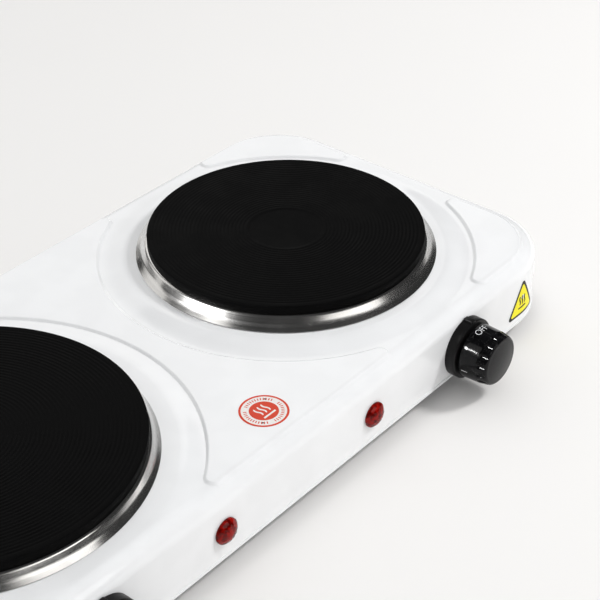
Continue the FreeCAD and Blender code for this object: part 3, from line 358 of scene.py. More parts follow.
def dust_group():
    """Dust that settles in specks on surfaces facing up."""
    name = "Settled Dust"
    if name in bpy.data.node_groups:
        return bpy.data.node_groups[name]
    tree, given, out = new_group(name, "ShaderNodeTree", [
        ("Amount", "NodeSocketFloat", 0.2), ("Scale", "NodeSocketFloat", 900.0)],
        [("Mask", "NodeSocketFloat")])
    place = add(tree, "ShaderNodeTexCoord").outputs["Object"]
    facing = add(tree, "ShaderNodeSeparateXYZ")
    feed(tree, facing.inputs[0], add(tree, "ShaderNodeNewGeometry").outputs["Normal"])
    upward = maths(tree, "MAXIMUM", facing.outputs["Z"], 0.0)
    specks = add(tree, "ShaderNodeTexVoronoi")
    wire(tree, specks.inputs, Vector=place, Scale=given["Scale"])
    spot = add(tree, "ShaderNodeMapRange")
    feed(tree, spot.inputs[0], specks.outputs["Distance"])
    spot.inputs[1].default_value = 0.22
    spot.inputs[2].default_value = 0.05
    patches = add(tree, "ShaderNodeTexNoise")
    wire(tree, patches.inputs, Vector=place, Scale=35.0)
    cover = maths(tree, "MULTIPLY", maths(tree, "MULTIPLY", spot.outputs[0], upward),
                  patches.outputs["Fac"])
    feed(tree, out["Mask"], maths(tree, "MULTIPLY", cover, given["Amount"]))
    return tree


def scuff_group():
    """Sparse hairline scuffs that run in many directions."""
    name = "Scuffs"
    if name in bpy.data.node_groups:
        return bpy.data.node_groups[name]
    tree, given, out = new_group(name, "ShaderNodeTree", [
        ("Scale", "NodeSocketFloat", 60.0), ("Amount", "NodeSocketFloat", 0.5)],
        [("Mask", "NodeSocketFloat")])
    place = add(tree, "ShaderNodeTexCoord").outputs["Object"]
    warp = add(tree, "ShaderNodeTexNoise")
    wire(tree, warp.inputs, Vector=place, Scale=given["Scale"], Detail=1.0)
    lines = add(tree, "ShaderNodeTexVoronoi", feature="DISTANCE_TO_EDGE")
    mixed = add(tree, "ShaderNodeVectorMath", operation="MULTIPLY_ADD")
    feed(tree, mixed.inputs[0], warp.outputs["Color"])
    mixed.inputs[1].default_value = (0.012, 0.012, 0.012)
    feed(tree, mixed.inputs[2], place)
    wire(tree, lines.inputs, Vector=mixed.outputs[0], Scale=given["Scale"])
    thin = add(tree, "ShaderNodeMapRange")
    feed(tree, thin.inputs[0], lines.outputs["Distance"])
    thin.inputs[1].default_value = 0.012
    thin.inputs[2].default_value = 0.0
    feed(tree, out["Mask"], maths(tree, "MULTIPLY", thin.outputs[0], given["Amount"]))
    return tree


def effect(tree, group, **values):
    """Places a shared effect in a material with its own values."""
    made = add(tree, "ShaderNodeGroup", node_tree=group)
    for name, value in values.items():
        feed(tree, made.inputs[name.replace("_", " ").title()], value)
    return made.outputs


def mixed_colour(tree, mask, first, second):
    made = add(tree, "ShaderNodeMix", data_type="RGBA")
    feed(tree, made.inputs[0], mask)
    feed(tree, made.inputs[6], first)
    feed(tree, made.inputs[7], second)
    return made.outputs[2]


def ranged(tree, mask, low, high):
    made = add(tree, "ShaderNodeMapRange")
    feed(tree, made.inputs[0], mask)
    made.inputs[3].default_value = low
    made.inputs[4].default_value = high
    return made.outputs[0]


def bumped(tree, heights):
    """Stacks bumps, each given as (height, depth in metres, strength)."""
    normal = None
    for height, depth, strength in heights:
        made = add(tree, "ShaderNodeBump")
        wire(tree, made.inputs, Distance=depth, Strength=strength, Height=height)
        if normal is not None:
            feed(tree, made.inputs["Normal"], normal)
        normal = made.outputs[0]
    return normal


def new_material(name):
    made = bpy.data.materials.new(name)
    made.use_nodes = True
    tree = made.node_tree
    shader = tree.nodes["Principled BSDF"]
    return made, tree, shader.inputs


def shades(base, spread):
    """A darker and a lighter neighbour of a colour."""
    return ([max(0.0, c * (1 - spread)) for c in base] + [1.0],
            [min(1.0, c * (1 + spread)) for c in base] + [1.0])


def plain_finish(name, base, spread=0.08, roughness=(0.4, 0.6), scale=500.0, depth=0.00004,
                 metallic=0.0, coat=0.0, dust=0.0, ior=1.5, turning=None):
    """A finish with grain in colour, roughness and height; turning adds tool lines."""
    made, tree, shader = new_material(name)
    fine = effect(tree, grain_group(), scale=scale)
    broad = effect(tree, grain_group(), scale=scale * 0.07, detail=2.0)
    dark, light = shades(base, spread)
    tone = mixed_colour(tree, fine["Mask"], dark, light)
    tone = mixed_colour(tree, ranged(tree, broad["Mask"], 0.0, 0.35), tone, light)
    heights = [(fine["Height"], depth, 0.6)]
    mask = fine["Mask"]
    if turning:
        middle, axis, pitch = turning
        lines = effect(tree, turning_group(), centre=middle, axis=axis, pitch=pitch)
        heights.append((lines["Height"], depth, 0.5))
        mask = lines["Mask"]
    if dust:
        cover = effect(tree, dust_group(), amount=dust)["Mask"]
        tone = mixed_colour(tree, cover, tone, (0.55, 0.53, 0.5, 1.0))
    wire(tree, shader, Base_Color=tone, Roughness=ranged(tree, mask, *roughness),
         Normal=bumped(tree, heights), Metallic=metallic, IOR=ior, Coat_Weight=coat,
         Coat_Roughness=0.08)
    return made


def enamel_finish():
    """White glaze: faint ripple, pale clouding, hairline scuffs and specks of dust."""
    made, tree, shader = new_material("white_enamel_finish")
    base = settings("colours").enamel
    ripple = effect(tree, grain_group(), scale=55.0, detail=1.0)
    peel = effect(tree, grain_group(), scale=420.0, detail=2.0)
    scuffs = effect(tree, scuff_group(), scale=16.0, amount=0.35)
    dark, light = shades(base, 0.012)
    tone = mixed_colour(tree, ripple["Mask"], dark, light)
    cover = effect(tree, dust_group(), amount=0.10, scale=500.0)["Mask"]
    tone = mixed_colour(tree, cover, tone, (0.62, 0.60, 0.57, 1.0))
    feed(tree, shader["Base Color"], tone)
    gloss = ranged(tree, peel["Mask"], 0.10, 0.17)
    wire(tree, shader, Roughness=maths(tree, "MULTIPLY_ADD", scuffs["Mask"], 0.12, gloss),
         Normal=bumped(tree, [(ripple["Height"], 0.00006, 0.25),
                              (peel["Height"], 0.000006, 0.35)]),
         Specular_IOR_Level=0.55, Coat_Weight=0.3, Coat_Roughness=0.05)
    return made


def iron_finish(side):
    """Black heat-proof coating over turned cast iron."""
    made, tree, shader = new_material("cast_iron_finish_" + side)
    base = settings("colours").iron
    middle = centre(PLATE_BOX[side])
    pits = effect(tree, grain_group(), scale=2600.0, detail=6.0)
    patches = effect(tree, grain_group(), scale=70.0, detail=5.0)
    lines = effect(tree, turning_group(), centre=middle, axis=UPRIGHT, pitch=0.00035)
    dark, light = shades(base, 0.22)
    tone = mixed_colour(tree, patches["Mask"], dark, light)
    tone = mixed_colour(tree, ranged(tree, lines["Mask"], 0.0, 0.3), tone,
                        [min(1.0, c * 1.8) for c in base] + [1.0])
    cover = effect(tree, dust_group(), amount=0.06, scale=1400.0)["Mask"]
    tone = mixed_colour(tree, cover, tone, (0.30, 0.29, 0.28, 1.0))
    wire(tree, shader, Base_Color=tone, Roughness=ranged(tree, patches["Mask"], 0.50, 0.62),
         Normal=bumped(tree, [(lines["Height"], 0.00004, 0.4), (pits["Height"], 0.00003, 0.5)]),
         IOR=1.1)
    return made


def ring_finish(side):
    """Polished stainless band with faint brushing round the burner."""
    made, tree, shader = new_material("spill_ring_finish_" + side)
    base = settings("colours").steel
    middle = centre(RING_BOX[side])
    lines = effect(tree, turning_group(), centre=middle, axis=UPRIGHT, pitch=0.00016)
    clouds = effect(tree, grain_group(), scale=45.0, detail=3.0)
    scuffs = effect(tree, scuff_group(), scale=70.0, amount=0.2)
    dark, light = shades(base, 0.06)
    feed(tree, shader["Base Color"], mixed_colour(tree, lines["Mask"], dark, light))
    gloss = ranged(tree, clouds["Mask"], 0.13, 0.20)
    gloss = maths(tree, "MULTIPLY_ADD", lines["Mask"], 0.06, gloss)
    wire(tree, shader, Roughness=maths(tree, "MULTIPLY_ADD", scuffs["Mask"], 0.1, gloss),
         Normal=bumped(tree, [(lines["Height"], 0.000012, 0.35)]), Metallic=1.0)
    return made


def gloss_finish(side):
    """Moulded gloss black of a dial's skirt and flutes."""
    made, tree, shader = new_material("gloss_black_finish_" + side)
    base = settings("colours").gloss_black
    swirl = effect(tree, grain_group(), scale=160.0, detail=2.0)
    scuffs = effect(tree, scuff_group(), scale=190.0, amount=0.6)
    dark, light = shades(base, 0.3)
    tone = mixed_colour(tree, swirl["Mask"], dark, light)
    feed(tree, shader["Base Color"], mixed_colour(tree, scuffs["Mask"], tone,
                                                  (0.05, 0.05, 0.05, 1.0)))
    gloss = ranged(tree, swirl["Mask"], 0.06, 0.10)
    wire(tree, shader, Roughness=maths(tree, "MULTIPLY_ADD", scuffs["Mask"], 0.2, gloss),
         Normal=bumped(tree, [(swirl["Height"], 0.00003, 0.2)]), IOR=1.28)
    return made


def lens_finish():
    """Red moulded lens, clear enough to look deep."""
    made, tree, shader = new_material("red_lens_finish")
    base = settings("colours").lens
    swirl = effect(tree, grain_group(), scale=420.0, detail=3.0)
    dark, light = shades(base, 0.55)
    wire(tree, shader, Base_Color=mixed_colour(tree, swirl["Mask"], dark, light),
         Roughness=ranged(tree, swirl["Mask"], 0.05, 0.11),
         Normal=bumped(tree, [(swirl["Height"], 0.00025, 0.5)]), Subsurface_Weight=0.15,
         Subsurface_Radius=(0.004, 0.0008, 0.0006), IOR=1.49, Specular_IOR_Level=0.15,
         Coat_Weight=0.12, Coat_Roughness=0.04)
    return made


def print_finish(name, base, roughness):
    """Ink or film with paper-fine grain."""
    return plain_finish(name, base, spread=0.05, roughness=roughness, scale=1800.0,
                        depth=0.000012, coat=0.05, ior=1.3)


def floor_finish():
    """Pale matte floor, open to a view from below."""
    made, tree, shader = new_material("studio_floor_finish")
    base = settings("colours").floor
    clouds = effect(tree, grain_group(), scale=1.6, detail=3.0)
    tooth = effect(tree, grain_group(), scale=700.0, detail=3.0)
    dark, light = shades(base, 0.006)
    feed(tree, shader["Base Color"], mixed_colour(tree, clouds["Mask"], dark, light))
    geometry = add(tree, "ShaderNodeNewGeometry")
    wire(tree, shader, Alpha=maths(tree, "SUBTRACT", 1.0, geometry.outputs["Backfacing"]),
         Roughness=ranged(tree, tooth["Mask"], 0.75, 0.9),
         Normal=bumped(tree, [(tooth["Height"], 0.00004, 0.2)]), Specular_IOR_Level=0.2)
    return made


def finish(name):
    """Makes a finish the first time it is asked for."""
    if name in FINISHES:
        return FINISHES[name]
    colours = settings("colours")
    if name == "enamel":
        made = enamel_finish()
    elif name.startswith("iron_"):
        made = iron_finish(name[5:])
    elif name.startswith("ring_"):
        made = ring_finish(name[5:])
    elif name.startswith("gloss_"):
        made = gloss_finish(name[6:])
    elif name.startswith("face_"):
        made = plain_finish("dial_face_" + name[5:], colours.matte_black, spread=0.1,
                            roughness=(0.42, 0.5), scale=1500.0, depth=0.00002, ior=1.08,
                            turning=(centre(KNOB_BOX[name[5:]]), OUT_OF_WALL, 0.0005))
    elif name == "matte_black":
        made = plain_finish("matte_black_finish", colours.matte_black, spread=0.12,
                            roughness=(0.34, 0.42), scale=2200.0, depth=0.00003, ior=1.3)
    elif name == "lens":
        made = lens_finish()
    elif name == "mark":
        made = print_finish("mark_print", colours.mark, (0.45, 0.55))
    elif name == "badge":
        made = print_finish("badge_print", colours.badge, (0.38, 0.5))
    elif name == "badge_white":
        made = print_finish("badge_film", (0.84, 0.80, 0.77), (0.38, 0.5))
    elif name == "foil":
        made = print_finish("foil_print", colours.foil, (0.35, 0.48))
    elif name == "ink":
        made = print_finish("dark_print", colours.ink, (0.38, 0.52))
    elif name == "floor":
        made = floor_finish()
    else:
        made = plain_finish(name + "_finish", **INNER_FINISHES[name])
    FINISHES[name] = made
    return made


FINISHES = {}
INNER_FINISHES = {
    "galvanised_steel": {"base": (0.50, 0.51, 0.53), "spread": 0.22, "roughness": (0.32, 0.5),
                         "scale": 160.0, "metallic": 1.0, "dust": 0.1},
    "zinc_steel": {"base": (0.62, 0.62, 0.60), "spread": 0.12, "roughness": (0.22, 0.38),
                   "scale": 900.0, "metallic": 1.0},
    "spring_steel": {"base": (0.30, 0.31, 0.33), "spread": 0.14, "roughness": (0.3, 0.45),
                     "scale": 900.0, "metallic": 1.0},
    "resistance_wire": {"base": (0.22, 0.20, 0.19), "spread": 0.2, "roughness": (0.5, 0.7),
                        "scale": 700.0, "metallic": 0.8},
    "grey_ceramic": {"base": (0.42, 0.41, 0.37), "spread": 0.14, "roughness": (0.8, 0.95),
                     "scale": 1200.0, "depth": 0.00012},
    "white_ceramic": {"base": (0.74, 0.71, 0.65), "spread": 0.06, "roughness": (0.55, 0.75),
                      "scale": 900.0},
    "brass": {"base": (0.66, 0.48, 0.20), "spread": 0.1, "roughness": (0.25, 0.4),
              "scale": 900.0, "metallic": 1.0},
    "brown_moulding": {"base": (0.085, 0.045, 0.028), "spread": 0.18, "roughness": (0.35, 0.5),
                       "scale": 800.0},
    "black_rubber": {"base": (0.018, 0.018, 0.018), "spread": 0.16, "roughness": (0.7, 0.85),
                     "scale": 1100.0, "depth": 0.00008, "dust": 0.25},
    "wire_sleeve": {"base": (0.66, 0.64, 0.58), "spread": 0.12, "roughness": (0.7, 0.85),
                    "scale": 1600.0, "depth": 0.0001},
    "white_plastic": {"base": (0.72, 0.72, 0.70), "spread": 0.04, "roughness": (0.4, 0.5),
                      "scale": 900.0},
    "bulb_glass": {"base": (0.62, 0.56, 0.46), "spread": 0.06, "roughness": (0.08, 0.14),
                   "scale": 500.0},
}
INNER_NODES = {
    "galvanised_steel": ("base_tray", "plate_cover", "clamp_bridge", "thermostat_bracket"),
    "zinc_steel": ("corner_posts", "clamp_stud", "clamp_nut", "thermostat_screws",
                   "thermostat_shaft"),
    "spring_steel": ("lamp_retainer",),
    "resistance_wire": ("heating_coil",),
    "grey_ceramic": ("ceramic_filling",),
    "white_ceramic": ("terminal_block", "terminal_insulator"),
    "brass": ("earth_screw", "terminal_screws", "thermostat_tabs"),
    "brown_moulding": ("thermostat_body",),
    "wire_sleeve": ("wires",),
    "white_plastic": ("lamp_holder",),
    "bulb_glass": ("lamp_bulb",),
}


# ---------------------------------------------------------------- mesh helpers

def new_object(name, points, edges, faces):
    mesh = bpy.data.meshes.new(name)
    mesh.from_pydata(points, edges, faces)
    made = bpy.data.objects.new(name, mesh)
    bpy.context.scene.collection.objects.link(made)
    return made


def shade(mesh, sharp=35.0):
    mesh.polygons.foreach_set("use_smooth", [True] * len(mesh.polygons))
    mesh.set_sharp_from_angle(angle=math.radians(sharp))


def face_outwards(mesh):
    shape = bmesh.new()
    shape.from_mesh(mesh)
    bmesh.ops.remove_doubles(shape, verts=shape.verts, dist=WELD)
    bmesh.ops.recalc_face_normals(shape, faces=shape.faces)
    shape.to_mesh(mesh)
    shape.free()


def baked(obj, name):
    """Swaps a piece and its modifiers for one plain mesh of the result."""
    depsgraph = bpy.context.evaluated_depsgraph_get()
    mesh = bpy.data.meshes.new_from_object(obj.evaluated_get(depsgraph), depsgraph=depsgraph)
    obj.modifiers.clear()
    spare = obj.data
    obj.data = mesh
    bpy.data.meshes.remove(spare)
    obj.name = name
    mesh.name = name
    return obj


def grow(obj, tree, **values):
    """Adds a geometry tree to a piece and sets its inputs by their identifiers."""
    modifier = obj.modifiers.new(tree.name, "NODES")
    modifier.node_group = tree
    for item in tree.interface.items_tree:
        if item.item_type == "SOCKET" and item.in_out == "INPUT" and item.name in values:
            modifier[item.identifier] = values.pop(item.name)
    if values:
        raise RuntimeError("the tree %s has no input named %s" % (tree.name, sorted(values)))


def join(name, objects):
    """Welds several pieces into one that keeps their materials."""
    shape = bmesh.new()
    materials = []
    for obj in objects:
        first = len(shape.faces)
        shape.from_mesh(obj.data)
        shape.faces.ensure_lookup_table()
        places = []
        for material in obj.data.materials:
            if material not in materials:
                materials.append(material)
            places.append(materials.index(material))
        for face in shape.faces[first:]:
            face.material_index = places[face.material_index]
    made = new_object(name, [], [], [])
    shape.to_mesh(made.data)
    shape.free()
    for material in materials:
        made.data.materials.append(material)
    for obj in objects:
        mesh = obj.data
        bpy.data.objects.remove(obj)
        bpy.data.meshes.remove(mesh)
    return made


def place_piece(obj, body, slot, *nodes):
    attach(obj, body)
    if nodes:
        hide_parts(*nodes)


def arc(centre_point, radius, start, end, steps):
    """Points along a circular arc in a profile, angles in degrees."""
    turns = [math.radians(start + (end - start) * i / steps) for i in range(steps + 1)]
    return [(centre_point[0] + radius * math.cos(t), centre_point[1] + radius * math.sin(t))
            for t in turns]


def softened(points, reach, steps=5):
    """A chain of points with each inner corner turned into a short curve."""
    chain = [points[0]]
    for before, corner, after in zip(points, points[1:], points[2:]):
        cut = []
        for other in (before, after):
            run = math.dist(corner, other)
            share = min(reach, run * 0.45) / run
            cut.append([c + (o - c) * share for c, o in zip(corner, other)])
        for i in range(steps + 1):
            t = i / steps
            chain.append(tuple(a * (1 - t) ** 2 + 2 * c * t * (1 - t) + b * t * t
                               for a, c, b in zip(cut[0], corner, cut[1])))
    return chain + [points[-1]]


def banded(points, thickness):
    """Closed outline of a strip of constant thickness centred on a line of points."""
    line = np.array(points)
    run = np.diff(line, axis=0)
    normal = np.stack([-run[:, 1], run[:, 0]], 1) / np.linalg.norm(run, axis=1)[:, None]
    across = np.concatenate([normal[:1], (normal[:-1] + normal[1:]) / 2, normal[-1:]])
    across = across / (across ** 2).sum(1)[:, None] * thickness / 2
    return [tuple(p) for p in np.concatenate([line + across, (line - across)[::-1]])]


# ---------------------------------------------------------------- geometry trees

def turned_tree():
    """Turns a profile, given as a chain of points (radius, 0, height), into a closed form."""
    name = "Turned Form"
    if name in bpy.data.node_groups:
        return bpy.data.node_groups[name]
    tree, given, out = new_group(name, "GeometryNodeTree", [
        ("Geometry", "NodeSocketGeometry", None), ("Segments", "NodeSocketInt", 96),
        ("Centre", "NodeSocketVector", (0.0, 0.0, 0.0)), ("Lie Down", "NodeSocketFloat", 0.0),
        ("Material", "NodeSocketMaterial", None)], [("Geometry", "NodeSocketGeometry")])
    count = add(tree, "GeometryNodeAttributeDomainSize")
    feed(tree, count.inputs[0], given["Geometry"])
    rows = maths(tree, "ADD", given["Segments"], 1.0)
    grid = add(tree, "GeometryNodeMeshGrid")
    wire(tree, grid.inputs, Vertices_X=count.outputs["Point Count"], Vertices_Y=rows)
    index = add(tree, "GeometryNodeInputIndex").outputs[0]
    step = maths(tree, "FLOOR", maths(tree, "DIVIDE", maths(tree, "ADD", index, 0.5), rows))
    lap = maths(tree, "SUBTRACT", index, maths(tree, "MULTIPLY", step, rows))
    sample = add(tree, "GeometryNodeSampleIndex", data_type="FLOAT_VECTOR", domain="POINT")
    wire(tree, sample.inputs, Geometry=given["Geometry"],
         Value=add(tree, "GeometryNodeInputPosition").outputs[0], Index=step)
    profile = add(tree, "ShaderNodeSeparateXYZ")
    feed(tree, profile.inputs[0], sample.outputs[0])
    turn = maths(tree, "MULTIPLY", maths(tree, "DIVIDE", lap, given["Segments"]), math.tau)
    place = add(tree, "ShaderNodeCombineXYZ")
    wire(tree, place.inputs,
         X=maths(tree, "MULTIPLY", profile.outputs["X"], maths(tree, "COSINE", turn)),
         Y=maths(tree, "MULTIPLY", profile.outputs["X"], maths(tree, "SINE", turn)),
         Z=profile.outputs["Z"])
    moved = add(tree, "GeometryNodeSetPosition")
    wire(tree, moved.inputs, Geometry=grid.outputs["Mesh"], Position=place.outputs[0])
    welded = add(tree, "GeometryNodeMergeByDistance")
    wire(tree, welded.inputs, Geometry=moved.outputs[0], Distance=WELD)
    tilt = add(tree, "ShaderNodeCombineXYZ")
    feed(tree, tilt.inputs["X"], maths(tree, "MULTIPLY", given["Lie Down"], math.pi / 2))
    laid = add(tree, "GeometryNodeTransform")
    wire(tree, laid.inputs, Geometry=welded.outputs[0], Translation=given["Centre"],
         Rotation=tilt.outputs[0])
    finish_tree(tree, laid.outputs[0], given["Material"], out)
    return tree


def finish_tree(tree, geometry, material, out):
    real = add(tree, "GeometryNodeRealizeInstances")
    feed(tree, real.inputs["Geometry"], geometry)
    coat = add(tree, "GeometryNodeSetMaterial")
    wire(tree, coat.inputs, Geometry=real.outputs[0], Material=material)
    feed(tree, out["Geometry"], coat.outputs[0])


def fluted_tree():
    """Presses round flutes with round ends into a form turned about an axis along Y."""
    name = "Fluted Grip"
    if name in bpy.data.node_groups:
        return bpy.data.node_groups[name]
    tree, given, out = new_group(name, "GeometryNodeTree", [
        ("Geometry", "NodeSocketGeometry", None), ("Centre", "NodeSocketVector", (0, 0, 0)),
        ("Count", "NodeSocketInt", 16), ("Flute Radius", "NodeSocketFloat", 0.0017),
        ("Circle Radius", "NodeSocketFloat", 0.0153), ("Start", "NodeSocketFloat", 0.02),
        ("Material", "NodeSocketMaterial", None)], [("Geometry", "NodeSocketGeometry")])
    spot = add(tree, "GeometryNodeInputPosition").outputs[0]
    arm = add(tree, "ShaderNodeSeparateXYZ")
    feed(tree, arm.inputs[0], vectors(tree, "SUBTRACT", spot, given["Centre"]))
    x, y, z = (arm.outputs[i] for i in range(3))
    radius = maths(tree, "SQRT", maths(tree, "ADD", maths(tree, "MULTIPLY", x, x),
                                       maths(tree, "MULTIPLY", z, z)))
    turns = maths(tree, "MULTIPLY", maths(tree, "DIVIDE", maths(tree, "ARCTAN2", z, x),
                                          math.tau), given["Count"])
    share = maths(tree, "SUBTRACT", maths(tree, "FRACT", turns), 0.5)
    angle = maths(tree, "DIVIDE", maths(tree, "MULTIPLY", share, math.tau), given["Count"])
    side = maths(tree, "MULTIPLY", maths(tree, "SINE", angle), given["Circle Radius"])
    along = maths(tree, "MULTIPLY", maths(tree, "COSINE", angle), given["Circle Radius"])
    behind = maths(tree, "MAXIMUM", maths(tree, "ADD", given["Start"], y), 0.0)
    inside = maths(tree, "SUBTRACT", maths(tree, "SUBTRACT",
                                           maths(tree, "MULTIPLY", given["Flute Radius"],
                                                 given["Flute Radius"]),
                                           maths(tree, "MULTIPLY", behind, behind)),
                   maths(tree, "MULTIPLY", side, side))
    root = maths(tree, "SQRT", maths(tree, "MAXIMUM", inside, 0.0))
    clear = maths(tree, "LESS_THAN", inside, 0.0)
    limit = maths(tree, "ADD", maths(tree, "SUBTRACT", along, root), clear)
    ratio = maths(tree, "DIVIDE", maths(tree, "MINIMUM", radius, limit),
                  maths(tree, "MAXIMUM", radius, WELD))
    pressed = add(tree, "ShaderNodeCombineXYZ")
    wire(tree, pressed.inputs, X=maths(tree, "MULTIPLY", x, ratio), Y=y,
         Z=maths(tree, "MULTIPLY", z, ratio))
    moved = add(tree, "GeometryNodeSetPosition")
    wire(tree, moved.inputs, Geometry=given["Geometry"],
         Position=vectors(tree, "ADD", pressed.outputs[0], given["Centre"]))
    finish_tree(tree, moved.outputs[0], given["Material"], out)
    return tree


def four_corners_tree():
    """Repeats a piece at the four corners of a rectangle, each turned by chance."""
    name = "Four Corners"
    if name in bpy.data.node_groups:
        return bpy.data.node_groups[name]
    tree, given, out = new_group(name, "GeometryNodeTree", [
        ("Geometry", "NodeSocketGeometry", None), ("Length", "NodeSocketFloat", 0.4),
        ("Depth", "NodeSocketFloat", 0.2), ("Centre", "NodeSocketVector", (0, 0, 0)),
        ("Material", "NodeSocketMaterial", None)], [("Geometry", "NodeSocketGeometry")])
    grid = add(tree, "GeometryNodeMeshGrid")
    wire(tree, grid.inputs, Size_X=given["Length"], Size_Y=given["Depth"], Vertices_X=2,
         Vertices_Y=2)
    centred = add(tree, "GeometryNodeTransform")
    wire(tree, centred.inputs, Geometry=grid.outputs["Mesh"], Translation=given["Centre"])
    chance = add(tree, "FunctionNodeRandomValue", data_type="FLOAT")
    chance.inputs[3].default_value = math.pi
    chance.inputs["Seed"].default_value = 7
    turn = add(tree, "ShaderNodeCombineXYZ")
    feed(tree, turn.inputs["Z"], chance.outputs[1])
    copies = add(tree, "GeometryNodeInstanceOnPoints")
    wire(tree, copies.inputs, Points=centred.outputs[0], Instance=given["Geometry"],
         Rotation=turn.outputs[0])
    finish_tree(tree, copies.outputs[0], given["Material"], out)
    return tree


def ring_of_tree():
    """Repeats a small mark round a circle, each pointing at the middle, with three gaps."""
    name = "Ring Of Marks"
    if name in bpy.data.node_groups:
        return bpy.data.node_groups[name]
    tree, given, out = new_group(name, "GeometryNodeTree", [
        ("Geometry", "NodeSocketGeometry", None), ("Count", "NodeSocketInt", 42),
        ("Radius", "NodeSocketFloat", 0.009), ("Centre", "NodeSocketVector", (0, 0, 0)),
        ("Gap Every", "NodeSocketInt", 14), ("Material", "NodeSocketMaterial", None)],
        [("Geometry", "NodeSocketGeometry")])
    ring = add(tree, "GeometryNodeMeshCircle")
    wire(tree, ring.inputs, Vertices=given["Count"], Radius=given["Radius"])
    index = add(tree, "GeometryNodeInputIndex").outputs[0]
    shown = maths(tree, "GREATER_THAN", maths(tree, "MODULO", index, given["Gap Every"]), 1.5)
    turn = add(tree, "ShaderNodeCombineXYZ")
    feed(tree, turn.inputs["Z"], maths(tree, "MULTIPLY", maths(tree, "DIVIDE", index,
                                                               given["Count"]), math.tau))
    copies = add(tree, "GeometryNodeInstanceOnPoints")
    wire(tree, copies.inputs, Points=ring.outputs[0], Selection=shown, Instance=given["Geometry"],
         Rotation=turn.outputs[0])
    centred = add(tree, "GeometryNodeTransform")
    wire(tree, centred.inputs, Geometry=copies.outputs[0], Translation=given["Centre"])
    finish_tree(tree, centred.outputs[0], given["Material"], out)
    return tree


def turned(name, profile, middle, material, segments=96, lie_down=False, sharp=35.0):
    """A closed form turned from (radius, height) points; lying down, its axis is -Y."""
    points = [(r, 0.0, h) for r, h in profile]
    edges = [(i, i + 1) for i in range(len(points) - 1)]
    obj = new_object(name, points, edges, [])
    grow(obj, turned_tree(), Segments=segments, Centre=tuple(middle),
         **{"Lie Down": 1.0 if lie_down else 0.0, "Material": material})
    baked(obj, name)
    face_outwards(obj.data)
    shade(obj.data, sharp)
    return obj


# ---------------------------------------------------------------- pressed housing

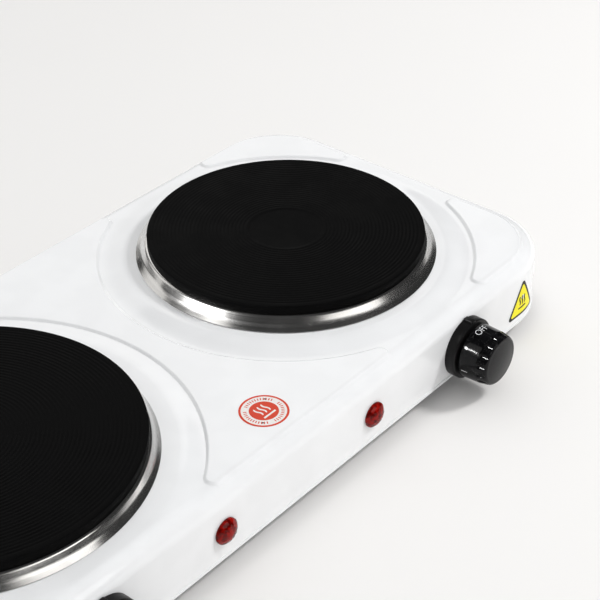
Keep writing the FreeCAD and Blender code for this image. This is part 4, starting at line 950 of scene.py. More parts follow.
class Pressing:
    """Heights of the pressed deck in millimetres about the middle of the housing."""

    def __init__(self):
        given = settings("housing")
        self.half = (HOUSING_HIGH.x / MM - given.hem_lip / MM,
                     (HOUSING_HIGH.y - MIDDLE.y) / MM - given.hem_lip / MM)
        self.corner = given.corner_radius / MM
        self.edge = given.edge_radius / MM
        self.rise = given.collar_rise / MM
        self.run = given.collar_run / MM
        self.deck = LEDGE_Z / MM - self.rise
        self.island_rise = given.island_rise / MM
        self.slope = given.island_edge / MM
        self.tip = given.island_tip / MM
        self.field = (self.half[0] - given.island_side_margin / MM,
                      self.half[1] - given.island_margin / MM, given.island_corner / MM)
        self.burners = []
        for side, ledge in (("left", given.ledge_large), ("right", given.ledge_small)):
            low, high = RING_BOX[side]
            ring = (high.x - low.x) / 2 / MM
            self.burners.append({
                "x": (high.x + low.x) / 2 / MM,
                "opening": ring - given.ledge_overlap / MM,
                "shoulder": ring + ledge / MM,
                "reach": ring + given.island_clearance / MM,
            })
        self.tips = self.find_tips()

    def depth(self, x, y, half_x, half_y, corner):
        """Distance inwards from a rounded rectangle."""
        across = np.abs(x) - (half_x - corner)
        back = np.abs(y) - (half_y - corner)
        outside = np.hypot(np.maximum(across, 0), np.maximum(back, 0))
        return corner - outside - np.minimum(np.maximum(across, back), 0)

    def rim(self, x, y):
        return self.depth(x, y, self.half[0], self.half[1], self.corner)

    def spare(self, x, y):
        """Distance inwards from a raised field with its sharp tips."""
        found = self.depth(x, y, *self.field)
        for burner in self.burners:
            found = np.minimum(found, np.hypot(x - burner["x"], y) - burner["reach"])
        return found

    def find_tips(self):
        """Centres of the small circles that round the tips."""
        found = []
        turns = np.linspace(0, math.tau, 14401)
        for burner in self.burners:
            x = burner["x"] + (burner["reach"] + self.tip) * np.cos(turns)
            y = (burner["reach"] + self.tip) * np.sin(turns)
            gap = self.depth(x, y, *self.field) - self.tip
            for i in np.nonzero(np.sign(gap[1:]) != np.sign(gap[:-1]))[0]:
                found.append((x[i], y[i]))
        return np.array(found)

    def slope_of(self, function, x, y):
        step = 0.01
        across = (function(x + step, y) - function(x - step, y)) / (2 * step)
        back = (function(x, y + step) - function(x, y - step)) / (2 * step)
        return across, back

    def island(self, x, y):
        """Distance inwards from a raised field with rounded tips."""
        found = self.spare(x, y)
        gap = np.hypot(x[:, None] - self.tips[:, 0], y[:, None] - self.tips[:, 1]).min(1)
        near = (found < self.tip) & (gap < 12 * self.tip)
        across, back = self.slope_of(self.spare, x[near], y[near])
        lift = self.tip - found[near]
        beyond = self.spare(x[near] + lift * across, y[near] + lift * back)
        rounded = np.where(beyond < self.tip - 0.02, self.tip - gap[near], found[near])
        found = found.copy()
        found[near] = rounded
        return found

    def relief(self, x, y):
        """Height above the deck."""
        share = np.clip(self.island(x, y) / self.slope + 0.5, 0, 1)
        found = self.island_rise * share * share * (3 - 2 * share)
        for burner in self.burners:
            radius = np.hypot(x - burner["x"], y)
            share = np.clip((radius - burner["shoulder"]) / self.run, 0, 1)
            found = np.maximum(found, self.rise * (1 - share * share * (3 - 2 * share)))
        return found

    def surface(self, x, y):
        """Heights and outward directions of the top surface."""
        inwards = np.clip(self.rim(x, y), 0, self.edge)
        cosine = 1 - inwards / self.edge
        sine = np.sqrt(np.maximum(1 - cosine ** 2, 0))
        height = self.deck + self.relief(x, y) - self.edge * (1 - sine)
        across, back = self.slope_of(self.relief, x, y)
        inward_x, inward_y = self.slope_of(self.rim, x, y)
        normal = np.stack([-across * sine - cosine * inward_x,
                           -back * sine - cosine * inward_y, sine], 1)
        normal /= np.linalg.norm(normal, axis=1)[:, None]
        return height, normal

    def outline(self, step):
        """Points, outward directions and distances run round the housing, from its back."""
        half_x, half_y, corner = *self.half, self.corner
        flat_x, flat_y = half_x - corner, half_y - corner
        lines = [((0, half_y), (-flat_x, half_y), 90),
                 ((-half_x, flat_y), (-half_x, -flat_y), 180),
                 ((-flat_x, -half_y), (flat_x, -half_y), 270),
                 ((half_x, -flat_y), (half_x, flat_y), 0),
                 ((flat_x, half_y), (0, half_y), 90)]
        centres = [(-flat_x, flat_y), (-flat_x, -flat_y), (flat_x, -flat_y), (flat_x, flat_y)]
        points, facing = [], []
        for i, (start, end, turn) in enumerate(lines):
            count = math.ceil(math.dist(start, end) / step)
            for k in range(count):
                t = k / count
                points.append([a + (b - a) * t for a, b in zip(start, end)])
                facing.append(math.radians(turn))
            if i < len(centres):
                count = math.ceil(corner * math.pi / 2 / step)
                for k in range(count):
                    angle = math.radians(turn + 90 * k / count)
                    points.append([centres[i][0] + corner * math.cos(angle),
                                   centres[i][1] + corner * math.sin(angle)])
                    facing.append(angle)
        points = np.array(points)
        facing = np.stack([np.cos(facing), np.sin(facing)], 1)
        run = np.linalg.norm(np.roll(points, -1, 0) - points, axis=1)
        return points, facing, np.concatenate([[0], np.cumsum(run)])


def thinned(x, y, cell):
    """Keeps one point for each small square."""
    keys = np.round(np.stack([x, y], 1) / cell).astype(int)
    kept = np.unique(keys, axis=0, return_index=True)[1]
    return x[kept], y[kept]


def deck_points(form, points, facing):
    """Points that follow the rounded edge, the collars and the raised fields."""
    laid = []
    for turn in range(0, 100, 10):
        laid.append(points - facing * form.edge * (1 - math.cos(math.radians(turn))))
    cloud = []
    for burner in form.burners:
        radii = [burner["opening"] + 0.6, burner["opening"] + 3, burner["shoulder"] - 1]
        radii += list(burner["shoulder"] + form.run * np.linspace(0, 1, 11))
        turns = np.linspace(0, math.tau, OPENING_FACETS, endpoint=False)
        for radius in radii:
            cloud.append(np.stack([burner["x"] + radius * np.cos(turns),
                                   radius * np.sin(turns)], 1))
    grid = np.meshgrid(np.arange(-form.half[0], form.half[0], 1.0),
                       np.arange(-form.half[1], form.half[1], 1.0))
    x, y = (axis.ravel() for axis in grid)
    inside = form.rim(x, y) > 1.5
    x, y = x[inside], y[inside]
    near = np.abs(form.island(x, y)) < 0.8
    x, y = x[near], y[near]
    for _ in range(3):
        across, back = form.slope_of(form.island, x, y)
        gap = form.island(x, y) / np.maximum(across ** 2 + back ** 2, 0.25)
        x, y = x - gap * across, y - gap * back
    x, y = thinned(x, y, 1.15)
    across, back = form.slope_of(form.island, x, y)
    for share in (-0.5, -0.36, -0.2, 0.0, 0.2, 0.36, 0.5):
        cloud.append(np.stack([x + across * form.slope * share,
                               y + back * form.slope * share], 1))
    filler = np.meshgrid(np.arange(-220, 221, 9.0), np.arange(-99, 100, 9.0))
    filler = np.stack([axis.ravel() for axis in filler], 1)
    quiet = np.abs(form.island(filler[:, 0], filler[:, 1])) > 4
    cloud.append(filler[quiet])
    cloud = np.concatenate(cloud)
    free = form.rim(cloud[:, 0], cloud[:, 1]) > 0.35
    for burner in form.burners:
        free &= np.hypot(cloud[:, 0] - burner["x"], cloud[:, 1]) > burner["opening"] + 0.3
    return np.concatenate(laid), cloud[free]


def triangulated(points, loops):
    """Triangles over points, with closed loops kept as edges; returns points and triangles."""
    edges = []
    for loop in loops:
        edges += [(a, b) for a, b in zip(loop, loop[1:] + loop[:1])]
    found = delaunay_2d_cdt([Vector(p) for p in points], edges, [], 0, 1e-5)
    return np.array([tuple(p) for p in found[0]]), np.array([tuple(f) for f in found[2]])


def deck_patch(form, points, facing):
    """The deck inside the rounded edge, with both burner openings."""
    laid, cloud = deck_points(form, points, facing)
    rings = []
    loops = [list(range(len(points)))]
    first = len(laid) + len(cloud)
    for burner in form.burners:
        turns = np.linspace(0, math.tau, OPENING_FACETS, endpoint=False)
        rings.append(np.stack([burner["x"] + burner["opening"] * np.cos(turns),
                               burner["opening"] * np.sin(turns)], 1))
        loops.append(list(range(first, first + OPENING_FACETS)))
        first += OPENING_FACETS
    flat, faces = triangulated(np.concatenate([laid, cloud] + rings), loops)
    middle = flat[faces].mean(1)
    keep = np.ones(len(faces), bool)
    for burner in form.burners:
        keep &= np.hypot(middle[:, 0] - burner["x"], middle[:, 1]) > burner["opening"] - 0.01
    height = form.surface(flat[:, 0], flat[:, 1])[0]
    return np.column_stack([flat, height]), faces[keep]


def wall_patch(form, points, run, low, holes):
    """The upright walls between hem and rounded edge, with round holes."""
    count = len(points)
    top = form.deck - form.edge
    rows = np.linspace(low, top, 6)
    cloud = [np.stack([run, np.full(count + 1, z)], 1) for z in rows]
    start_front = np.interp(0, points[:, 0][points[:, 1] < -form.half[1] + 0.01],
                            run[:-1][points[:, 1] < -form.half[1] + 0.01])
    placed = []
    for x, z, radius, at_back in holes:
        spot = run[-1] - x if at_back and x > 0 else (-x if at_back else start_front + x)
        placed.append((spot, z, radius))
    flat = np.concatenate(cloud)
    for spot, z, radius in placed:
        flat = flat[np.hypot(flat[:, 0] - spot, flat[:, 1] - z) > radius * 1.25 + 0.3]
    loops = []
    for spot, z, radius in placed:
        turns = np.linspace(0, math.tau, HOLE_FACETS, endpoint=False)
        loops.append(list(range(len(flat), len(flat) + HOLE_FACETS)))
        flat = np.concatenate([flat, np.stack([spot + radius * np.cos(turns),
                                               z + radius * np.sin(turns)], 1)])
    flat, faces = triangulated(flat, loops)
    middle = flat[faces].mean(1)
    keep = np.ones(len(faces), bool)
    for spot, z, radius in placed:
        keep &= np.hypot(middle[:, 0] - spot, middle[:, 1] - z) > radius * 0.99
    closed = np.vstack([points, points[:1]])
    x = np.interp(flat[:, 0], run, closed[:, 0])
    y = np.interp(flat[:, 0], run, closed[:, 1])
    share = (flat[:, 1] - low) / (top - low)
    z = flat[:, 1] + form.relief(x, y) * share
    return np.column_stack([x, y, z]), faces[keep]


def merged(patches):
    """Joins patches where their points meet."""
    points, faces, first = [], [], 0
    for patch_points, patch_faces in patches:
        points.append(patch_points)
        faces.append(np.asarray(patch_faces) + first)
        first += len(patch_points)
    points = np.concatenate(points)
    _, kept, back = np.unique(np.round(points, 3), axis=0, return_index=True,
                              return_inverse=True)
    faces = [back.ravel()[f] for f in faces]
    return points[kept], faces


def hem_patch(points, facing, given):
    """Rows of quads down round the proud hem."""
    bottom = HOUSING_LOW.z / MM
    lip = given.hem_lip / MM
    top = bottom + given.hem_height / MM
    profile = [(0.0, top + 0.3), (0.1 * lip, top + 0.12), (0.45 * lip, top),
               (0.85 * lip, top - 0.1), (lip, top - 0.35), (lip, bottom + 0.35),
               (0.8 * lip, bottom + 0.08), (0.4 * lip, bottom)]
    rows = [np.column_stack([points + facing * out, np.full(len(points), z)])
            for out, z in profile]
    count = len(points)
    faces = []
    for row in range(len(rows) - 1):
        for i in range(count):
            k = (i + 1) % count
            faces.append((row * count + i, (row + 1) * count + i, (row + 1) * count + k,
                          row * count + k))
    return np.concatenate(rows), faces, profile[0][1]


def thick_shell(points, faces, normals, sheet):
    """Outer and inner skins with the edges between them closed."""
    count = len(points)
    both = np.concatenate([points, points - normals * sheet])
    used = dict.fromkeys((a, b) for face in faces for a, b in zip(face, face[1:] + face[:1]))
    shell = list(faces) + [tuple(v + count for v in face[::-1]) for face in faces]
    walls = [(b, a, a + count, b + count) for a, b in used if (b, a) not in used]
    return both, shell + walls


def build_housing():
    """The pressed shell: deck, walls and hem, given the sheet's thickness."""
    given = settings("housing")
    form = Pressing()
    points, facing, run = form.outline(WALL_STEP)
    hem_points, hem_faces, low = hem_patch(points, facing, given)
    holes = []
    for side in SIDES:
        knob, lamp = centre(KNOB_BOX[side]) / MM, centre(LENS_BOX[side]) / MM
        holes.append((knob.x, knob.z, DIAL_HOLE_R, False))
        holes.append((lamp.x, lamp.z, LAMP_HOLE_R, False))
        for turn in PEG_TURNS:
            holes.append((knob.x + PEG_CIRCLE_R * math.cos(math.radians(turn)),
                          knob.z + PEG_CIRCLE_R * math.sin(math.radians(turn)), PEG_HOLE_R,
                          False))
    gland = centre(GLAND_BOX) / MM
    holes.append((gland.x, gland.z, LEAD_HOLE_R, True))
    deck, deck_faces = deck_patch(form, points, facing)
    wall, wall_faces = wall_patch(form, points, run, low, holes)
    solid, parts = merged([(deck, deck_faces), (wall, wall_faces), (hem_points, hem_faces)])
    top, sides, hem = [[tuple(int(v) for v in face) for face in part] for part in parts]
    sides = [face for face in sides if len(set(face)) == 3]
    sides = oriented(solid, sides)
    top = upward(solid, top)
    hem = oriented(solid, hem)
    shell = new_object("probe", [tuple(p) for p in solid], [], top + sides + hem)
    shade(shell.data, 60.0)
    normals = np.zeros(len(solid) * 3)
    shell.data.vertex_normals.foreach_get("vector", normals)
    normals = normals.reshape(-1, 3)
    exact = form.surface(solid[:, 0], solid[:, 1])[1]
    on_top = np.zeros(len(solid), bool)
    on_top[np.array(top).ravel()] = True
    normals[on_top] = exact[on_top]
    both, faces = thick_shell(solid, top + sides + hem, normals, given.sheet / MM)
    probe = shell.data
    bpy.data.objects.remove(shell)
    bpy.data.meshes.remove(probe)
    place = np.array([MIDDLE.x, MIDDLE.y, 0.0])
    obj = new_object("housing_shell", [tuple(p) for p in both * MM + place], [], faces)
    shade(obj.data, 50.0)
    keep_exact_normals(obj.data, len(top), len(top + sides + hem), exact, len(solid))
    obj.data.materials.append(finish("enamel"))
    place_piece(obj, "housing", "white_enamel", "top_housing")


def upward(points, faces):
    """Triangles turned so that they look up."""
    made = []
    for a, b, c in faces:
        turn = np.cross(points[b][:2] - points[a][:2], points[c][:2] - points[a][:2])
        made.append((a, b, c) if turn > 0 else (a, c, b))
    return made


def oriented(points, faces):
    """Faces turned so that they look away from the middle."""
    made = []
    for face in faces:
        a, b, c = (points[face[i]] for i in (0, 1, 2))
        normal = np.cross(b - a, c - a)
        middle = (a + b + c) / 3
        away = np.array([middle[0], middle[1], 0.0])
        made.append(face if normal @ away >= 0 else face[::-1])
    return made


def keep_exact_normals(mesh, top_count, outer_count, exact, count):
    """Gives the deck the directions of the true surface, outside and inside."""
    corners = np.zeros(len(mesh.loops) * 3)
    mesh.corner_normals.foreach_get("vector", corners)
    corners = corners.reshape(-1, 3)
    ends = np.zeros(len(mesh.polygons), int)
    mesh.polygons.foreach_get("loop_start", ends)
    owners = np.zeros(len(mesh.loops), int)
    mesh.loops.foreach_get("vertex_index", owners)
    last = ends[top_count]
    corners[:last] = exact[owners[:last]]
    first = ends[outer_count]
    inner = slice(first, first + last)
    corners[inner] = -exact[owners[inner] - count]
    mesh.normals_split_custom_set([tuple(c) for c in corners])


# ---------------------------------------------------------------- burners

def plate_profile(side):
    """Section of a plate in millimetres above the ledge, from its middle outwards."""
    given = settings("burner")
    low, high = PLATE_BOX[side]
    radius = (high.x - low.x) / 2 / MM
    top, skirt = (high.z - LEDGE_Z) / MM, (low.z - LEDGE_Z) / MM
    rim = top - given.rim_height / MM
    dish, depth = given.dish_radius / MM, given.dish_depth / MM
    slope, boss, stud, chamfer = 2.6, 22.0, 3.05, given.chamfer / MM
    profile = [(stud, skirt + 8.5), (stud, skirt + 0.5), (boss - 0.5, skirt + 0.5),
               (boss, skirt + 1.0), (boss, rim - 3.5), (boss + 0.5, rim - 3.0),
               (radius - 7.5, rim - 3.0), (radius - 7.0, rim - 3.5), (radius - 7.0, skirt + 0.3),
               (radius - 6.7, skirt), (radius - 2.8, skirt), (radius - 2.5, skirt + 0.3),
               (radius - 2.5, rim), (radius - 0.3, rim), (radius, rim + 0.3)]
    profile += arc((radius - chamfer, top - chamfer), chamfer, 0, 90, 4)
    pitch, cut = given.groove_pitch / MM, given.groove_depth / MM
    inner = dish + slope
    count = int((radius - 2.4 - inner) / pitch)
    section = ((0.0, 0.0), (0.10, 0.3), (0.25, 0.9), (0.38, 1.0), (0.51, 0.9), (0.66, 0.3),
               (0.76, 0.0))
    for index in reversed(range(count)):
        for share, deep in reversed(section):
            profile.append((inner + (index + 0.2 + share) * pitch, top - cut * deep))
    for step in range(9):
        share = 1 - step / 8
        profile.append((dish + slope * share, top - depth * (1 - share * share * (3 - 2 * share))))
    profile += [(dish * share, top - depth) for share in (0.75, 0.5, 0.25, 0.0)]
    return [(0.0, skirt + 8.5)] + profile


def scaled(profile):
    return [(r * MM, h * MM) for r, h in profile]


def burner_centre(box):
    return (centre(box).x, centre(box).y, LEDGE_Z)


def build_plates():
    for side in SIDES:
        name = "iron_plate_" + side
        plate = turned(name, scaled(plate_profile(side)), burner_centre(PLATE_BOX[side]),
                       finish("iron_" + side), settings("burner").segments, sharp=50.0)
        place_piece(plate, "housing", "cast_iron_black", "hotplate_" + side)


def build_rings():
    sheet = settings("burner").ring_sheet / MM
    for side in SIDES:
        plate_r = (PLATE_BOX[side][1].x - PLATE_BOX[side][0].x) / 2 / MM
        ring_r = (RING_BOX[side][1].x - RING_BOX[side][0].x) / 2 / MM
        over = ring_r - plate_r
        top = (RING_BOX[side][1].z - LEDGE_Z) / MM - sheet / 2
        line = [(plate_r - 1.9, top), (plate_r + 0.55, top), (plate_r + 0.5 * over, 3.0),
                (ring_r - 0.32, 0.42)]
        profile = banded(softened(line, 1.3, 7), sheet)
        ring = turned("steel_ring_" + side, scaled(profile + profile[:1]),
                      burner_centre(RING_BOX[side]), finish("ring_" + side),
                      settings("burner").segments, sharp=50.0)
        place_piece(ring, "housing", "stainless_steel", "spill_ring_" + side)


# ---------------------------------------------------------------- dials

def wall_point(box):
    return (centre(box).x, FRONT_Y, centre(box).z)


def dial_point(side):
    """Where a dial's axis meets the front wall."""
    return (centre(KNOB_BOX[side]).x, FRONT_Y, centre(KNOB_BOX[side]).z)


def block(name, low, high, rounding, material):
    """A box with rounded edges."""
    shape = bmesh.new()
    bmesh.ops.create_cube(shape, size=1.0)
    for vertex in shape.verts:
        for axis in range(3):
            vertex.co[axis] = low[axis] if vertex.co[axis] < 0 else high[axis]
    bmesh.ops.bevel(shape, geom=shape.edges[:], offset=rounding, segments=3, affect="EDGES",
                    profile=0.5)
    obj = new_object(name, [], [], [])
    shape.to_mesh(obj.data)
    shape.free()
    obj.data.materials.append(material)
    shade(obj.data)
    return obj


def build_bezels():
    for side in SIDES:
        low, high = BEZEL_BOX[side]
        x, _, z = dial_point(side)
        radius = (high.x - low.x) / 2 / MM
        deep = (FRONT_Y - low.y) / MM
        profile = [(6.5, deep - 1.8), (radius - 2, deep - 1.8), (radius - 2, 0.7),
                   (radius - 2, 0.0), (radius, 0.0), (radius, 0.7), (radius, deep - 0.9)]
        profile += arc((radius - 0.9, deep - 0.9), 0.9, 15, 90, 5)
        profile += [(6.9, deep), (6.5, deep - 0.4), (6.5, deep - 1.8)]
        black = finish("matte_black")
        collar = turned("collar_" + side, scaled(profile), (x, FRONT_Y, z), black, 128, True)
        hem_top = HOUSING_LOW.z + settings("housing").hem_height + 0.2 * MM
        clear = FRONT_Y - settings("housing").hem_lip - 0.2 * MM
        for vertex in collar.data.vertices:
            if vertex.co.z < hem_top and vertex.co.y > clear:
                vertex.co.y = clear
        width = 3.4 * MM
        nub = block("nub_" + side, (x - width / 2, low.y + 0.1 * MM, z + (radius - 1.0) * MM),
                    (x + width / 2, FRONT_Y - 0.05 * MM, high.z), 0.45 * MM, black)
        place_piece(join("bezel_" + side, [collar, nub]), "housing", "matte_black_plastic",
                    "dial_bezel_" + side)


def knob_profile(side):
    """Section of a dial: radius and distance in front of the wall, in millimetres."""
    given = settings("dial")
    low, high = KNOB_BOX[side]
    skirt_r = (high.x - low.x) / 2 / MM
    reach = (FRONT_Y - low.y) / MM
    dome, rounding = given.dome / MM, given.rounding / MM
    face = reach - dome
    rim = face - rounding
    grip = rim - given.grip_length / MM
    rear = grip - given.skirt_length / MM
    grip_r, rim_r = skirt_r - 0.4, skirt_r - 1.1
    profile = [(0.0, 18.6), (3.05, 18.6), (3.05, rear - 2.8), (3.25, rear - 3.0),
               (4.9, rear - 3.0), (5.2, rear - 2.7), (5.2, face - 3.0), (11.7, face - 3.0),
               (11.7, grip - 2.0), (13.5, grip - 2.0), (13.5, rear), (skirt_r - 0.4, rear)]
    profile += arc((skirt_r - 0.4, rear + 0.4), 0.4, -60, 0, 3)
    profile += [(skirt_r + (grip_r - skirt_r) * t, rear + 0.4 + (grip - rear - 0.4) * t)
                for t in (0.25, 0.5, 0.75, 0.95, 1.0)]
    profile += [(grip_r + (rim_r - grip_r) * i / 14, grip + (rim - grip) * i / 14)
                for i in range(1, 15)]
    profile += arc((rim_r - rounding, rim), rounding, 6, 90, 14)
    flat_r = rim_r - rounding
    profile += [(flat_r * (1 - i / 8), face + dome * (1 - (1 - i / 8) ** 2))
                for i in range(1, 9)]
    return profile, grip, face, flat_r


def build_knobs():
    given = settings("dial")
    for side in SIDES:
        spot = dial_point(side)
        profile, grip, face, flat_r = knob_profile(side)
        name = "knob_" + side
        knob = turned(name, scaled(profile), spot, finish("gloss_" + side), 384, True)
        grow(knob, fluted_tree(), Centre=spot, Count=given.flute_count,
             **{"Flute Radius": given.flute_radius, "Circle Radius": given.flute_circle,
                "Start": grip * MM + given.flute_radius, "Material": finish("gloss_" + side)})
        baked(knob, name)
        knob.data.materials.append(finish("face_" + side))
        for polygon in knob.data.polygons:
            middle = polygon.center
            out = math.hypot(middle.x - spot[0], middle.z - spot[2])
            if middle.y < spot[1] - (face - 0.1) * MM and out < (flat_r + 0.7) * MM:
                polygon.material_index = 1
        shade(knob.data, 38.0)
        place_piece(knob, "dial_" + side, "gloss_black_plastic", "control_knob_" + side)


def printed(text, height, width=None):
    """Triangles of a line of text centred on the origin, in millimetres, cut into strips."""
    curve = bpy.data.curves.new("printed", "FONT")
    curve.body = text
    curve.align_x = "CENTER"
    curve.offset = -0.012
    curve.resolution_u = 6
    holder = bpy.data.objects.new("printed", curve)
    bpy.context.scene.collection.objects.link(holder)
    depsgraph = bpy.context.evaluated_depsgraph_get()
    mesh = bpy.data.meshes.new_from_object(holder.evaluated_get(depsgraph), depsgraph=depsgraph)
    bpy.data.objects.remove(holder)
    bpy.data.curves.remove(curve)
    shape = bmesh.new()
    shape.from_mesh(mesh)
    bpy.data.meshes.remove(mesh)
    spread = [(min(v.co[i] for v in shape.verts), max(v.co[i] for v in shape.verts))
              for i in (0, 1)]
    tall = height / (spread[1][1] - spread[1][0])
    wide = width / (spread[0][1] - spread[0][0]) if width else tall
    for vertex in shape.verts:
        vertex.co.x = (vertex.co.x - sum(spread[0]) / 2) * wide
        vertex.co.y = (vertex.co.y - sum(spread[1]) / 2) * tall
        vertex.co.z = 0.0
    half = max(abs(v.co.x) for v in shape.verts)
    for step in range(-int(half / 0.5), int(half / 0.5) + 1):
        everything = shape.verts[:] + shape.edges[:] + shape.faces[:]
        bmesh.ops.bisect_plane(shape, geom=everything, plane_co=(step * 0.5, 0, 0),
                               plane_no=(1, 0, 0))
    return shape


def build_marks():
    """Prints the off mark and the numbers on each dial's skirt, tops towards the wall."""
    given = settings("dial")
    for side in SIDES:
        x, y, z = dial_point(side)
        skirt_r = (KNOB_BOX[side][1].x - KNOB_BOX[side][0].x) / 2 / MM
        _, grip, _, _ = knob_profile(side)
        rear = grip - given.skirt_length / MM
        labels = [(given.off_mark, 92.0, 8.4)]
        labels += [(str(i + 1), 195.0 + 40.0 * i, None) for i in range(given.steps)]
        shape = bmesh.new()
        for text, angle, width in labels:
            flat = printed(text, given.mark_height / MM, width)
            for vertex in flat.verts:
                off = rear + 3.5 - vertex.co.y
                radius = skirt_r - 0.4 * (off - rear) / (grip - rear) + 0.05
                turn = math.radians(angle) - vertex.co.x / radius
                vertex.co = Vector((x + radius * MM * math.cos(turn), y - off * MM,
                                    z + radius * MM * math.sin(turn)))
            spare = bpy.data.meshes.new("spare")
            flat.to_mesh(spare)
            flat.free()
            shape.from_mesh(spare)
            bpy.data.meshes.remove(spare)
        for face in shape.faces:
            face.normal_update()
            middle = face.calc_center_median()
            if face.normal.dot(middle - Vector((x, middle.y, z))) < 0:
                face.normal_flip()
        obj = new_object("dial_marks_" + side, [], [], [])
        shape.to_mesh(obj.data)
        shape.free()
        obj.data.materials.append(finish("mark"))
        place_piece(obj, "dial_" + side, "gloss_black_plastic")


# ---------------------------------------------------------------- lamps, gland, feet

def build_lenses():
    given = settings("lamp")
    for side in SIDES:
        low, high = LENS_BOX[side]
        radius = (high.x - low.x) / 2 / MM
        flange, reach = given.flange / MM, (FRONT_Y - low.y) / MM
        inner, barrel = (high.y - FRONT_Y) / MM, given.barrel_radius / MM
        bore = barrel - given.barrel_wall / MM
        dome = reach - flange
        dome_r = (radius ** 2 + dome ** 2) / (2 * dome)
        edge = math.degrees(math.asin(radius / dome_r))
        profile = [(0.0, 0.3), (bore - 0.3, 0.3), (bore, 0.0), (bore, -inner),
                   (barrel, -inner), (barrel, 0.0), (radius - 0.15, 0.0), (radius, 0.15),
                   (radius, flange - 0.15), (radius - 0.1, flange)]
        profile += arc((0.0, reach - dome_r), dome_r, 91.2 - edge, 90, 22)
        spot = wall_point(LENS_BOX[side])
        lens = turned("red_lens_" + side, scaled(profile), spot, finish("lens"), 144, True)
        for vertex in lens.data.vertices:
            arm = vertex.co - Vector(spot)
            out = math.hypot(arm.x, arm.z) / MM / radius
            if -arm.y > (flange + 0.02) * MM and 0.02 < out < 0.96:
                ray = math.cos(math.atan2(arm.z, arm.x) * given.facets) - 1
                vertex.co.y -= 0.06 * MM * ray * math.sin(math.pi * out)
        shade(lens.data)
        place_piece(lens, "housing", "red_lens", "lamp_lens_" + side)


def build_gland():
    """Rubber bush in the back wall's hole, with its flange outside."""
    low, high = GLAND_BOX
    radius = (high.x - low.x) / 2 / MM
    out = (high.y - BACK_Y) / MM
    profile = [(3.75, 0.5 - out), (4.25, -out), (radius - 0.9, -out)]
    profile += arc((radius - 0.9, 0.9 - out), 0.9, -75, 0, 5)
    profile += [(radius, 0.0), (6.4, 0.0), (6.4, 0.8), (7.6, 0.8), (7.6, 1.3), (6.9, 2.3),
                (3.75, 2.3), (3.75, 0.5 - out)]
    gland = turned("lead_bush", scaled(profile), (centre(GLAND_BOX).x, BACK_Y,
                                                  centre(GLAND_BOX).z),
                   finish("black_rubber"), 96, True)
    place_piece(gland, "housing", "black_rubber", "cord_gland")


def four_of(template, box, material, name):
    """Repeats a template under the four corners of the housing."""
    low, high = box
    reach = template.dimensions.x / 2
    grow(template, four_corners_tree(), Length=high.x - low.x - 2 * reach,
         Depth=high.y - low.y - 2 * reach, Centre=(centre(box).x, centre(box).y, 0.0),
         Material=material)
    return baked(template, name)


def build_feet():
    given = settings("foot")
    top, bottom = given.top_radius / MM, given.bottom_radius / MM
    recess, deep = given.recess_radius / MM, given.recess_depth / MM
    tall = (FOOT_BOX[1].z - FOOT_BOX[0].z) / MM
    hole = given.shank_radius / MM + 0.2
    profile = [(hole, deep), (recess, deep), (recess, 0.35), (recess + 0.35, 0.0),
               (bottom - 0.5, 0.0), (bottom - 0.1, 0.15), (bottom, 0.5)]
    profile += [(bottom + (top - bottom) * (0.5 + i) / tall, 0.5 + i) for i in range(1, 8)]
    profile += [(top - 0.05, tall - 0.35), (top - 0.3, tall), (hole, tall), (hole, deep)]
    foot = turned("feet", scaled(profile), (0, 0, 0), finish("black_rubber"), 64)
    for vertex in foot.data.vertices:
        if math.hypot(vertex.co.x, vertex.co.y) > (bottom + 0.02) * MM:
            turn = math.atan2(vertex.co.y, vertex.co.x)
            pull = 1 - 0.004 * (1 + math.cos(turn * 16))
            vertex.co.x *= pull
            vertex.co.y *= pull
    widest = max(v.co.x for v in foot.data.vertices)
    for vertex in foot.data.vertices:
        vertex.co.x *= top * MM / widest
        vertex.co.y *= top * MM / widest
    place_piece(four_of(foot, FOOT_BOX, finish("black_rubber"), "table_feet"), "housing",
                "black_rubber", "rubber_feet")


def build_screws():
    given = settings("foot")
    low, high = SCREW_BOX[0].z / MM, SCREW_BOX[1].z / MM
    head, under = given.head_radius / MM, low + given.head_height / MM
    shank = given.shank_radius / MM
    profile = [(0.0, low), (head - 0.8, low), (head - 0.25, low + 0.25), (head, low + 0.8),
               (head, under - 0.1), (head - 0.1, under), (shank, under)]
    turns = int((high - 1.0 - under) / 1.2)
    for index in range(turns):
        start = under + 0.4 + 1.2 * index
        profile += [(shank - 0.35, start), (shank, start + 0.5), (shank, start + 0.65)]
    profile += [(shank - 0.35, high - 0.8), (shank - 1.0, high), (0.0, high)]
    screw = turned("screw", scaled(profile), (0, 0, 0), finish("zinc_steel"), 48)
    slot = 0.5 * MM
    cutter = block("slot_cutter", (-2 * head * MM, -slot, (low - 1.0) * MM),
                   (2 * head * MM, slot, (low + 0.9) * MM), 0.1 * MM, finish("zinc_steel"))
    cut = screw.modifiers.new("slot", "BOOLEAN")
    cut.object = cutter
    cut.operation = "DIFFERENCE"
    baked(screw, "screw")
    bpy.data.objects.remove(cutter)
    shade(screw.data)
    made = four_of(screw, SCREW_BOX, finish("zinc_steel"), "tray_screws")
    place_piece(made, "housing", "zinc_steel", "foot_screws")


# ---------------------------------------------------------------- sticker and foil

def within(point, loop):
    """True where a point lies inside a closed loop."""
    inside = False
    for (ax, ay), (bx, by) in zip(loop, loop[1:] + loop[:1]):
        if (ay > point.y) != (by > point.y):
            if point.x < ax + (bx - ax) * (point.y - ay) / (by - ay):
                inside = not inside
    return inside


